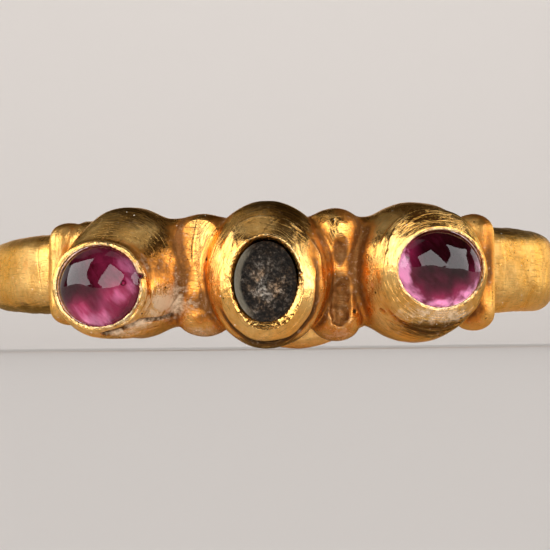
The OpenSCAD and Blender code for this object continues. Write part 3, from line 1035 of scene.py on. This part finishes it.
# %% [markdown]
# ## Shared effects
#
# Scratches are used twice on the gold, once along the brush and once as nicks. Grain and flecks are on
# the gold and in the cement. So each is a node group that gives a height or a mask, and the shaders stay
# in the materials.

# %% Helpers that place and join nodes
def put(tree, kind, **settings):
    node = tree.nodes.new(kind)
    for key, value in settings.items():
        if key.startswith("in_"):
            slot_name = key[3:].replace("_", " ")
            found_slot = next(s for s in node.inputs if s.name.lower() == slot_name.lower() and s.enabled)
            found_slot.default_value = value
        else:
            setattr(node, key, value)
    return node


def join(tree, source, target):
    tree.links.new(source, target)


def ramp(tree, source, stops):
    node = tree.nodes.new("ShaderNodeValToRGB")
    while len(node.color_ramp.elements) < len(stops):
        node.color_ramp.elements.new(0.5)
    for element, (place, colour) in zip(node.color_ramp.elements, stops):
        element.position = place
        element.color = (*colour, 1) if len(colour) == 3 else (colour[0],) * 3 + (1,)
    join(tree, source, node.inputs[0])
    return node.outputs[0]


def maths(tree, operation, a, b=None, clamp=False):
    node = tree.nodes.new("ShaderNodeMath")
    node.operation = operation
    node.use_clamp = clamp
    for index, value in enumerate((a, b)):
        if value is None:
            continue
        if isinstance(value, (int, float)):
            node.inputs[index].default_value = value
        else:
            join(tree, value, node.inputs[index])
    return node.outputs[0]


def blend_colours(tree, amount, first, second, mode="MIX"):
    node = tree.nodes.new("ShaderNodeMix")
    node.data_type = "RGBA"
    node.blend_type = mode
    for value, index in ((amount, 0), (first, 6), (second, 7)):
        if isinstance(value, (int, float)):
            node.inputs[index].default_value = value
        elif isinstance(value, tuple):
            node.inputs[index].default_value = (*value, 1)
        else:
            join(tree, value, node.inputs[index])
    return node.outputs[2]


def spread(tree, source, low, high, to_low=0.0, to_high=1.0):
    node = tree.nodes.new("ShaderNodeMapRange")
    join(tree, source, node.inputs[0])
    for index, value in zip((1, 2, 3, 4), (low, high, to_low, to_high)):
        node.inputs[index].default_value = value
    return node.outputs[0]


def new_group(name, takes, gives):
    """A node group with its sockets: the group, its way in and its way out."""
    group = bpy.data.node_groups.new(name, "ShaderNodeTree")
    for way, labels in (("INPUT", takes), ("OUTPUT", gives)):
        for label in labels:
            kind = "NodeSocketVector" if label in ("Vector", "Stretch") else "NodeSocketFloat"
            group.interface.new_socket(label, in_out=way, socket_type=kind)
    return group, put(group, "NodeGroupInput"), put(group, "NodeGroupOutput")


print("helpers:", [maker.__name__ for maker in (put, join, ramp, maths, blend_colours, spread, new_group)])

# %% Scratches
def build_scratches():
    group, into, out = new_group("fine_scratches", ("Vector", "Scale", "Stretch"), ("Height", "Mask"))
    drawn = put(group, "ShaderNodeVectorMath", operation="MULTIPLY")
    join(group, into.outputs["Vector"], drawn.inputs[0])
    join(group, into.outputs["Stretch"], drawn.inputs[1])
    fine = put(group, "ShaderNodeTexNoise", in_detail=3.0, in_roughness=0.6, in_distortion=0.3)
    join(group, drawn.outputs[0], fine.inputs["Vector"])
    join(group, into.outputs["Scale"], fine.inputs["Scale"])
    lines = put(group, "ShaderNodeTexNoise", in_detail=1.0, in_roughness=0.5)
    join(group, drawn.outputs[0], lines.inputs["Vector"])
    join(group, maths(group, "MULTIPLY", into.outputs["Scale"], 0.37), lines.inputs["Scale"])
    thin = maths(group, "ABSOLUTE", maths(group, "SUBTRACT", lines.outputs[0], 0.5))
    mask = spread(group, thin, 0.0, 0.022, 1.0, 0.0)
    height = maths(group, "SUBTRACT", fine.outputs[0], maths(group, "MULTIPLY", mask, 0.5))
    join(group, height, out.inputs["Height"])
    join(group, mask, out.inputs["Mask"])
    return group


scratches = build_scratches()
print(scratches.name, "has", len(scratches.nodes), "nodes")

# %% Grain
def build_grain():
    group, into, out = new_group("grain", ("Vector", "Scale"), ("Height",))
    fine = put(group, "ShaderNodeTexNoise", in_detail=6.0, in_roughness=0.7)
    cells = put(group, "ShaderNodeTexVoronoi", feature="F1")
    for node in (fine, cells):
        join(group, into.outputs["Vector"], node.inputs["Vector"])
        join(group, into.outputs["Scale"], node.inputs["Scale"])
    height = maths(group, "ADD", fine.outputs[0], maths(group, "MULTIPLY", cells.outputs[0], -0.4))
    join(group, height, out.inputs["Height"])
    return group


grain = build_grain()
print(grain.name, "has", len(grain.nodes), "nodes")

# %% Flecks
def build_flecks():
    """Small sparse dots: about four cells in ten of a Voronoi pattern have one, each of its own size."""
    group, into, out = new_group("flecks", ("Vector", "Scale"), ("Flecks",))
    cells = put(group, "ShaderNodeTexVoronoi", feature="F1")
    join(group, into.outputs["Vector"], cells.inputs["Vector"])
    join(group, into.outputs["Scale"], cells.inputs["Scale"])
    parts = put(group, "ShaderNodeSeparateColor")
    join(group, cells.outputs["Color"], parts.inputs[0])
    size = spread(group, parts.outputs[0], 0.6, 1.0, 0.0, 0.11)
    dot = maths(group, "LESS_THAN", cells.outputs["Distance"], size)
    join(group, dot, out.inputs["Flecks"])
    return group


flecks = build_flecks()
print(flecks.name, "has", len(flecks.nodes), "nodes")

# %% Helpers that read the metal, start a material and add patterns up
def use_group(tree, group, **settings):
    node = tree.nodes.new("ShaderNodeGroup")
    node.node_tree = group
    for key, value in settings.items():
        if isinstance(value, (int, float, tuple)):
            node.inputs[key].default_value = value
        else:
            join(tree, value, node.inputs[key])
    return node


def fresh_material(name):
    material = bpy.data.materials.new(name)
    material.use_nodes = True
    tree = material.node_tree
    tree.nodes.clear()
    out = tree.nodes.new("ShaderNodeOutputMaterial")
    shader = tree.nodes.new("ShaderNodeBsdfPrincipled")
    join(tree, shader.outputs[0], out.inputs["Surface"])
    return material, tree, shader


def named(tree, name, output="Fac"):
    return put(tree, "ShaderNodeAttribute", attribute_name=name).outputs[output]


def noise(tree, place, scale, detail=3.0, roughness=0.6):
    node = put(tree, "ShaderNodeTexNoise", in_scale=scale, in_detail=detail, in_roughness=roughness)
    join(tree, place, node.inputs["Vector"])
    return node.outputs[0]


def put_grey(tree, value):
    """A value as a grey colour."""
    node = put(tree, "ShaderNodeCombineColor")
    for socket in node.inputs:
        join(tree, value, socket)
    return node.outputs[0]


def total(tree, *terms):
    """The sum of values, each with its weight."""
    result = None
    for source, weight in terms:
        part = maths(tree, "MULTIPLY", source, weight)
        result = part if result is None else maths(tree, "ADD", result, part)
    return result


def centred(tree, value):
    """A pattern from 0 to 1, moved to lie about 0."""
    return maths(tree, "SUBTRACT", value, 0.5)


def set_bump(tree, shader, height, strength, metres):
    """Raise and lower the surface by a pattern."""
    bump = put(tree, "ShaderNodeBump", in_strength=strength, in_distance=metres)
    join(tree, height, bump.inputs["Height"])
    join(tree, bump.outputs[0], shader.inputs["Normal"])


MORE_HELPERS = (use_group, fresh_material, named, noise, put_grey, total, centred, set_bump)
print("helpers:", [maker.__name__ for maker in MORE_HELPERS])

# %% [markdown]
# ## Worn gold
#
# High-carat gold is deep yellow, and brown where solder and dirt have stayed. Some of the brown and dark
# patches are painted shade, between the parts, in creases and on the tops, and a pale film is partly a
# painted sheen. Rubbed places are smoother and paler, hollows are dull. Burnishing and wear leave
# scratches that run round the cups and along the hoop.
#
# All of this is one material. The values kept on the mesh and a few patterns are added up into masks, and
# each mask blends in one colour. Painting an image would be the other way, but masks stay sharp at any
# distance, and each kind of wear can be set on its own.

# %% The gold's colours
CLEAN_YELLOW, CLEAN_PALE = (1.0, 0.5, 0.11), (1.0, 0.62, 0.21)
# The solder and dirt browns also paint shade where the stains and cuts carry it, and the skin brown paints
# shade on the tops and lower flanks.
SOLDER_AND_SHADE_BROWN, DIRT_AND_SHADE_BROWN, SKIN_AND_SHADE_BROWN = (0.8, 0.28, 0.04), (0.24, 0.085, 0.018), (0.1, 0.05, 0.016)
# The groove dark is painted shade.
GROOVE_PAINTED_SHADE, SCRATCH_BROWN = (0.022, 0.012, 0.005), (0.4, 0.22, 0.07)
FLECK_DARK, DUST_PALE = (0.02, 0.01, 0.004), (0.95, 0.85, 0.7)
# The film's pale is partly a painted sheen.
RUBBED_YELLOW, FILM_AND_SHEEN_PALE = (1.0, 0.8, 0.44), (1.0, 0.77, 0.53)
BEDDING_FOLD, BEDDING_PALE, BEDDING_GLOW = (0.02, 0.008, 0.01), (1.0, 0.92, 0.94), (1.0, 0.85, 0.92)
BEDDING_STRENGTH = 1.8
print("clean gold from", CLEAN_YELLOW, "to", CLEAN_PALE)

# %% The gold's material
def worn_gold():
    material, tree, shader = fresh_material("worn_gold")
    place = put(tree, "ShaderNodeTexCoord").outputs["Object"]
    brushed = named(tree, "brush", "Vector")
    cut, edge, bedded = named(tree, "groove_dirt_and_shade"), named(tree, "edge"), named(tree, "bedding")
    blotch, small = noise(tree, place, 900.0, 4.0), noise(tree, place, 5200.0, 4.0, 0.65)
    marks = use_group(tree, scratches, Vector=brushed, Scale=9.0, Stretch=(0.2, 2.2, 2.2)).outputs
    nicks = use_group(tree, scratches, Vector=place, Scale=1500.0, Stretch=(1.0, 1.0, 0.3)).outputs
    grit = use_group(tree, grain, Vector=place, Scale=9000.0).outputs["Height"]
    dots = use_group(tree, flecks, Vector=place, Scale=2300.0).outputs["Flecks"]
    dust = use_group(tree, flecks, Vector=place, Scale=3700.0).outputs["Flecks"]

    # Dirt stays in hollows, stains and cuts, and the stains and cuts bring painted shade into it. Its edges
    # are broken up by two patterns.
    dirt_and_shade = total(tree, (named(tree, "hollow"), 0.8), (named(tree, "deep_hollow"), 0.35),
                 (named(tree, "stain"), 0.9), (centred(tree, blotch), 0.9), (centred(tree, small), 0.6),
                 (cut, 0.75))
    dirt_and_shade = spread(tree, dirt_and_shade, 0.34, 1.0)
    clean = blend_colours(tree, spread(tree, blotch, 0.35, 0.65), CLEAN_YELLOW, CLEAN_PALE)
    browned = ramp(tree, dirt_and_shade, [(0.0, (0,)), (0.4, (0.8,)), (1.0, (1,))])
    colour = blend_colours(tree, browned, clean, SOLDER_AND_SHADE_BROWN)
    colour = blend_colours(tree, spread(tree, dirt_and_shade, 0.5, 1.0), colour, DIRT_AND_SHADE_BROWN)

    # A dark skin lies over parts of it, drawn out along the brushing. It is partly a dark patina and partly
    # painted shade on the cups' tops and lower flanks and on the hoop's edges.
    skin = total(tree, (named(tree, "dark_skin"), 1.0), (centred(tree, marks["Height"]), 1.1),
                 (centred(tree, blotch), 0.8))
    skin = spread(tree, skin, 0.32, 0.72)
    colour = blend_colours(tree, maths(tree, "MULTIPLY", skin, 0.86), colour, SKIN_AND_SHADE_BROWN)

    # Grooves, pits and the line round each stone are painted nearly black, as painted shade. Then come
    # scratches, dark flecks and pale dust.
    colour = blend_colours(tree, spread(tree, cut, 0.4, 1.0, 0.0, 0.9), colour, GROOVE_PAINTED_SHADE)
    colour = blend_colours(tree, maths(tree, "MULTIPLY", marks["Mask"], 0.5), colour, SCRATCH_BROWN)
    colour = blend_colours(tree, dots, colour, FLECK_DARK)
    colour = blend_colours(tree, dust, colour, DUST_PALE)

    # Edges are rubbed bright, unless they lie in a hollow.
    rubbed = maths(tree, "MULTIPLY", spread(tree, edge, 0.25, 0.7), spread(tree, small, 0.35, 0.6, 0.3, 0.8))
    in_the_open = spread(tree, named(tree, "hollow"), 0.12, 0.4, 1.0, 0.0)
    colour = blend_colours(tree, maths(tree, "MULTIPLY", rubbed, in_the_open), colour, RUBBED_YELLOW)
    mottle = spread(tree, small, 0.3, 0.7, 0.78, 1.06)
    colour = blend_colours(tree, 1.0, colour, put_grey(tree, mottle), "MULTIPLY")

    # The pale film, partly a painted sheen, is thick in a few places and thin and patchy elsewhere.
    veil_and_sheen = total(tree, (named(tree, "pale_film_and_sheen"), 1.0), (centred(tree, small), 1.7),
                 (centred(tree, marks["Height"]), 0.8), (nicks["Mask"], -0.4))
    veil_and_sheen = spread(tree, veil_and_sheen, 0.15, 0.9)
    colour = blend_colours(tree, maths(tree, "MULTIPLY", veil_and_sheen, 0.9), colour, FILM_AND_SHEEN_PALE)

    # The bedding in the seats is pale and gives off light of its own.
    folds = spread(tree, noise(tree, place, 1500.0, 2.0), 0.35, 0.62, 0.45, 1.0)
    seat = blend_colours(tree, folds, BEDDING_FOLD, BEDDING_PALE)
    join(tree, blend_colours(tree, bedded, colour, seat), shader.inputs["Base Color"])
    gleam = blend_colours(tree, maths(tree, "MULTIPLY", folds, bedded), (0.0, 0.0, 0.0), BEDDING_GLOW)
    join(tree, gleam, shader.inputs["Emission Color"])
    shader.inputs["Emission Strength"].default_value = BEDDING_STRENGTH
    shader.inputs["Specular Tint"].default_value = (1.0, 0.8, 0.45, 1)

    # Dirt and painted shade, film and sheen, dust and the satin of the hoop are duller, and rubbed edges are
    # smoother.
    rough = total(tree, (spread(tree, blotch, 0.3, 0.7, 0.09, 0.22), 1.0), (dirt_and_shade, 0.28), (edge, -0.08),
                  (skin, 0.12), (marks["Mask"], 0.1), (dust, 0.4), (bedded, 0.3),
                  (named(tree, "satin"), 0.16), (veil_and_sheen, 0.15))
    join(tree, rough, shader.inputs["Roughness"])
    matt = total(tree, (dust, 1.0), (bedded, 0.5), (veil_and_sheen, 0.36))
    bright = maths(tree, "SUBTRACT", spread(tree, dirt_and_shade, 0.55, 1.0, 1.0, 0.6), matt, clamp=True)
    join(tree, bright, shader.inputs["Metallic"])
    height = total(tree, (marks["Height"], 0.45), (small, 0.45), (nicks["Mask"], -0.35),
                   (maths(tree, "MULTIPLY", grit, dirt_and_shade), 0.8), (dots, -1.2))
    set_bump(tree, shader, height, 0.6, 0.00003)
    return material


metal.data.materials.clear()
metal.data.materials.append(worn_gold())
print("worn gold has", len(metal.data.materials[0].node_tree.nodes), "nodes")

# %% [markdown]
# ## The stones' colour
#
# The stones are clear and purplish red, like garnet. In a real one light goes in, meets the seat and
# comes out tinted, so the stone is bright where that light gathers and dark elsewhere. A render finds
# little of this light by itself. So the bright places are painted: they are the soft spots kept on the
# mesh above, laid out as seen from the front, and they stay where they are from every other side. The
# brightest of them also give off some light of their own, and the bedding gives off more. Streaks,
# planes and clouds break them up.
#
# The stones refract less than garnet does, 1.52 in place of about 1.75, because a stone that refracts
# more also mirrors more, and the pale floor would grey it.

# %% The stones' colours
DARKEST, BODY_RED, BRIGHTEST = (0.012, 0.0008, 0.002), (0.32, 0.065, 0.135), (0.9, 0.88, 0.92)
GLEAM_PINK = (1.0, 0.45, 0.72)
REFRACTION = 1.52
TINT_A_METRE = 720.0
BUBBLE_R, BUBBLE_SOFT = 0.00009, (0.00001, 0.00004)
print("refraction", REFRACTION)


# %% The stones' material
def bubble_ring(tree, place, mark):
    """The thin dark ring of a bubble at a place."""
    away = put(tree, "ShaderNodeVectorMath", operation="DISTANCE")
    join(tree, place, away.inputs[0])
    away.inputs[1].default_value = mark
    off = maths(tree, "ABSOLUTE", maths(tree, "SUBTRACT", away.outputs["Value"], BUBBLE_R))
    return spread(tree, off, *BUBBLE_SOFT, 1.0, 0.0)


def gem_material(name, colour, gleam, mark=None):
    material, tree, shader = fresh_material(name)
    place = put(tree, "ShaderNodeTexCoord").outputs["Object"]
    drawn = put(tree, "ShaderNodeMapping", vector_type="TEXTURE", in_rotation=(0, -0.7, 0),
                in_scale=(1, 1, 4)).outputs[0]
    join(tree, place, drawn.node.inputs["Vector"])
    streaks, cloud = noise(tree, drawn, 3200.0, 3.0), noise(tree, place, 1100.0)
    planes = put(tree, "ShaderNodeTexVoronoi", feature="F1", in_scale=900.0)
    join(tree, drawn, planes.inputs["Vector"])
    parts = put(tree, "ShaderNodeSeparateColor")
    join(tree, planes.outputs["Color"], parts.inputs[0])
    gathered = named(tree, "gathered")
    flaws = total(tree, (centred(tree, streaks), 1.3), (centred(tree, cloud), 0.7),
                  (centred(tree, parts.outputs[0]), 0.35))
    flaws = maths(tree, "MULTIPLY", flaws, maths(tree, "ADD", gathered, 0.12))
    lit = maths(tree, "ADD", gathered, flaws)
    if mark:
        lit = total(tree, (lit, 1.0), (bubble_ring(tree, place, mark), -0.5))
    body = ramp(tree, lit, [(0.0, DARKEST), (0.5, BODY_RED), (1.0, BRIGHTEST)])
    join(tree, body, shader.inputs["Base Color"])
    join(tree, ramp(tree, lit, [(0.6, (0, 0, 0)), (1.0, GLEAM_PINK)]), shader.inputs["Emission Color"])
    shader.inputs["Emission Strength"].default_value = gleam
    join(tree, spread(tree, named(tree, "ground"), 0.0, 1.0, 0.025, 0.4), shader.inputs["Roughness"])
    shader.inputs["Transmission Weight"].default_value = 1.0
    shader.inputs["IOR"].default_value = REFRACTION
    height = total(tree, (noise(tree, place, 800.0, 1.0), 1.0), (noise(tree, place, 4500.0, 2.0), 0.04))
    set_bump(tree, shader, height, 1.0, 0.00004)
    inside = put(tree, "ShaderNodeVolumeAbsorption")
    inside.inputs["Color"].default_value = (*colour, 1)
    inside.inputs["Density"].default_value = TINT_A_METRE
    out = next(node for node in tree.nodes if node.type == "OUTPUT_MATERIAL")
    join(tree, inside.outputs[0], out.inputs["Volume"])
    print(name, "has", len(tree.nodes), "nodes")
    return material


LEFT_BUBBLE = tuple(float(v) * MM for v in xyz(-25.11, -0.45, 13.01))
left_gem.data.materials.append(gem_material("left_gem", (0.8, 0.13, 0.44), 0.2, LEFT_BUBBLE))
right_gem.data.materials.append(gem_material("right_gem", (0.79, 0.14, 0.5), 0.6))

# %% [markdown]
# ## The cement's grit
#
# Setting cement dries out and crumbles with age. It has no shine. It is dark where dirt has sunk in and
# pale where the crust has crumbled, and both come at several sizes at once. It is also paler in its
# middle and darker towards the rim. So the tone is a sum of patterns, read off one scale from black to
# pale grey.

# %% The cement's material
CEMENT_TONES = [(0.22, (0.002, 0.002, 0.002)), (0.46, (0.02, 0.016, 0.012)), (0.66, (0.1, 0.082, 0.065)),
                (0.88, (0.42, 0.37, 0.31)), (1.0, (0.8, 0.76, 0.68))]


def cement_grit():
    material, tree, shader = fresh_material("cement_grit")
    place = put(tree, "ShaderNodeTexCoord").outputs["Object"]
    grit = use_group(tree, grain, Vector=place, Scale=7000.0)
    crumbs = use_group(tree, flecks, Vector=place, Scale=6000.0)
    patch, grains = noise(tree, place, 1500.0, 4.0), noise(tree, place, 7500.0, 5.0, 0.75)
    tone = total(tree, (spread(tree, grains, 0.4, 0.6), 0.5), (spread(tree, patch, 0.38, 0.62), 0.34),
                 (named(tree, "paler_middle"), 0.34), (crumbs.outputs["Flecks"], 0.3))
    colour = ramp(tree, tone, CEMENT_TONES)
    brown = ramp(tree, noise(tree, place, 2100.0), [(0.45, (1, 1, 1)), (0.62, (1.0, 0.7, 0.42))])
    colour = blend_colours(tree, 0.8, colour, brown, "MULTIPLY")
    wall = maths(tree, "MULTIPLY", named(tree, "wall"), spread(tree, grains, 0.3, 0.6, 0.6, 1.0))
    join(tree, blend_colours(tree, wall, colour, (0.37, 0.34, 0.26)), shader.inputs["Base Color"])
    shader.inputs["Roughness"].default_value = 0.6
    set_bump(tree, shader, maths(tree, "ADD", grit.outputs["Height"], grains), 1.0, 0.00009)
    return material


bed.data.materials.append(cement_grit())
print("the cement has", len(bed.data.materials[0].node_tree.nodes), "nodes")

# %% [markdown]
# ## The studio
#
# The ring lies on its side on a pale floor that curves up far behind it. Polished metal shows its
# surroundings more than its own colour, so the lights matter as much as the material. Large soft boxes
# stand round it, a little above the ring. Two weak ones hang higher, and the rest above is left dark so
# that the upper flanks have deep reflections. The same boxes light the gold, the stones and the cement.

# %% The floor and backdrop
def pale_floor():
    """A dull pale floor. A trace of light of its own keeps the shadows on it from going black."""
    material, tree, shader = fresh_material("pale_floor")
    shader.inputs["Base Color"].default_value = (0.74, 0.7, 0.67, 1)
    shader.inputs["Roughness"].default_value = 0.9
    shader.inputs["Specular IOR Level"].default_value = 0.1
    shader.inputs["Emission Color"].default_value = (1, 0.9, 0.84, 1)
    shader.inputs["Emission Strength"].default_value = 0.05
    return material


FLOOR_FRONT, FLOOR_BACK, FLOOR_HALF = -0.9, 0.55, 1.2
CURVE_R, BACKDROP_TOP = 0.2, 0.26


def studio_floor():
    floor_z = CAD_BOX[0][2] - 0.00001
    profile = [(FLOOR_FRONT, floor_z), (FLOOR_BACK, floor_z)]
    for a in np.linspace(0, math.pi / 2, 16)[1:]:
        profile.append((FLOOR_BACK + CURVE_R * math.sin(a), floor_z + CURVE_R * (1 - math.cos(a))))
    profile.append((FLOOR_BACK + CURVE_R, BACKDROP_TOP))
    points = [(x, y, z) for y, z in profile for x in (-FLOOR_HALF, FLOOR_HALF)]
    faces = [(2 * i, 2 * i + 1, 2 * i + 3, 2 * i + 2) for i in range(len(profile) - 1)]
    mesh = bpy.data.meshes.new("studio_floor")
    mesh.from_pydata(points, [], faces)
    mesh.polygons.foreach_set("use_smooth", np.ones(len(mesh.polygons), bool))
    thing = bpy.data.objects.new("studio_floor", mesh)
    bpy.context.scene.collection.objects.link(thing)
    mesh.materials.append(pale_floor())
    print("floor at", round(floor_z * 1000, 2), "mm")


studio_floor()

# %% The lights
def soft_box(name, azimuth, elevation, away, size, glow, roll=0):
    """A soft box at an angle from the ring, which it faces."""
    a, e = math.radians(azimuth), math.radians(elevation)
    spot = Vector((math.sin(a) * math.cos(e), -math.cos(a) * math.cos(e), math.sin(e))) * away
    lamp_at(name, spot, spot.to_track_quat("Z", "Y"), size, glow, roll)


def lamp_at(name, spot, facing, size, glow, roll=0):
    lamp = bpy.data.lights.new(name, "AREA")
    lamp.shape = "RECTANGLE"
    lamp.size, lamp.size_y = size
    lamp.energy = glow * math.pi * size[0] * size[1]
    thing = bpy.data.objects.new(name, lamp)
    turn = Matrix.Rotation(math.radians(roll), 4, "Z")
    thing.matrix_world = Matrix.Translation(spot) @ facing.to_matrix().to_4x4() @ turn
    thing.visible_camera = False
    bpy.context.scene.collection.objects.link(thing)
    print(name, "glows", glow, "over", size, "m")


soft_box("box_left_side", -88, 14, 0.4, (0.28, 0.32), 3.4, roll=25)
soft_box("box_left_front", -35, 14, 0.4, (0.25, 0.28), 3.4, roll=-25)
soft_box("box_right_front", 38, 14, 0.4, (0.28, 0.28), 3.4, roll=25)
soft_box("box_right_side", 82, 14, 0.4, (0.22, 0.32), 3.0, roll=-25)
soft_box("box_right_back", 128, 8, 0.4, (0.26, 0.2), 1.5)
soft_box("box_left_back", -130, 8, 0.4, (0.24, 0.2), 0.5)
soft_box("box_above", -40, 74, 0.45, (0.3, 0.26), 0.4)
soft_box("box_high_left", -120, 47, 0.45, (0.24, 0.2), 0.2, roll=20)

# %% The light on the backdrop, and the dark room round it all
BACKDROP_LAMP = Vector((0, 0.3, 0.4))
TO_BACKDROP = Vector((0, -1, 0.55)).to_track_quat("Z", "Y")
lamp_at("backdrop_light", BACKDROP_LAMP, TO_BACKDROP, (0.6, 0.15), 6.8)
world = bpy.data.worlds.new("dark_room")
world.use_nodes = True
world.node_tree.nodes["Background"].inputs[0].default_value = (0.035, 0.024, 0.015, 1)
bpy.context.scene.world = world
bpy.context.scene.view_settings.view_transform = "Standard"

# %% [markdown]
# ## The camera
#
# A long lens stands in front, a little lower than the ring's middle and just above the floor, and rolled
# by a hair, so that the row of cups is seen straight on.

# %% The camera
LENS_AWAY = 150
PIXELS_A_MM = 27
FRONT = 12.8
EYE_Z = -2.8
ROLL = 0.6
FRAME_SIDE = 550
SEEN_MIDDLE = (271.0, 274.8)
view = bpy.data.cameras.new("view")
view.sensor_width = 36
view.lens = view.sensor_width * LENS_AWAY * PIXELS_A_MM / FRAME_SIDE
view.clip_start, view.clip_end = 0.0005, 5
view.shift_x = (FRAME_SIDE / 2 - SEEN_MIDDLE[0]) / FRAME_SIDE
view.shift_y = (SEEN_MIDDLE[1] - FRAME_SIDE / 2) / FRAME_SIDE
eye = bpy.data.objects.new("view", view)
spot = Vector((0, -(FRONT + LENS_AWAY), EYE_Z)) * MM
aim = (-spot).to_track_quat("-Z", "Y").to_matrix().to_4x4()
eye.matrix_world = Matrix.Translation(spot) @ aim @ Matrix.Rotation(math.radians(-ROLL), 4, "Z")
bpy.context.scene.collection.objects.link(eye)
bpy.context.scene.camera = eye
print("lens", round(view.lens, 1), "mm at", [round(v, 4) for v in spot])

# %% Bring the scene up to date and print the time taken
bpy.context.view_layer.update()
print("made in", round(time.time() - clock, 1), "s")
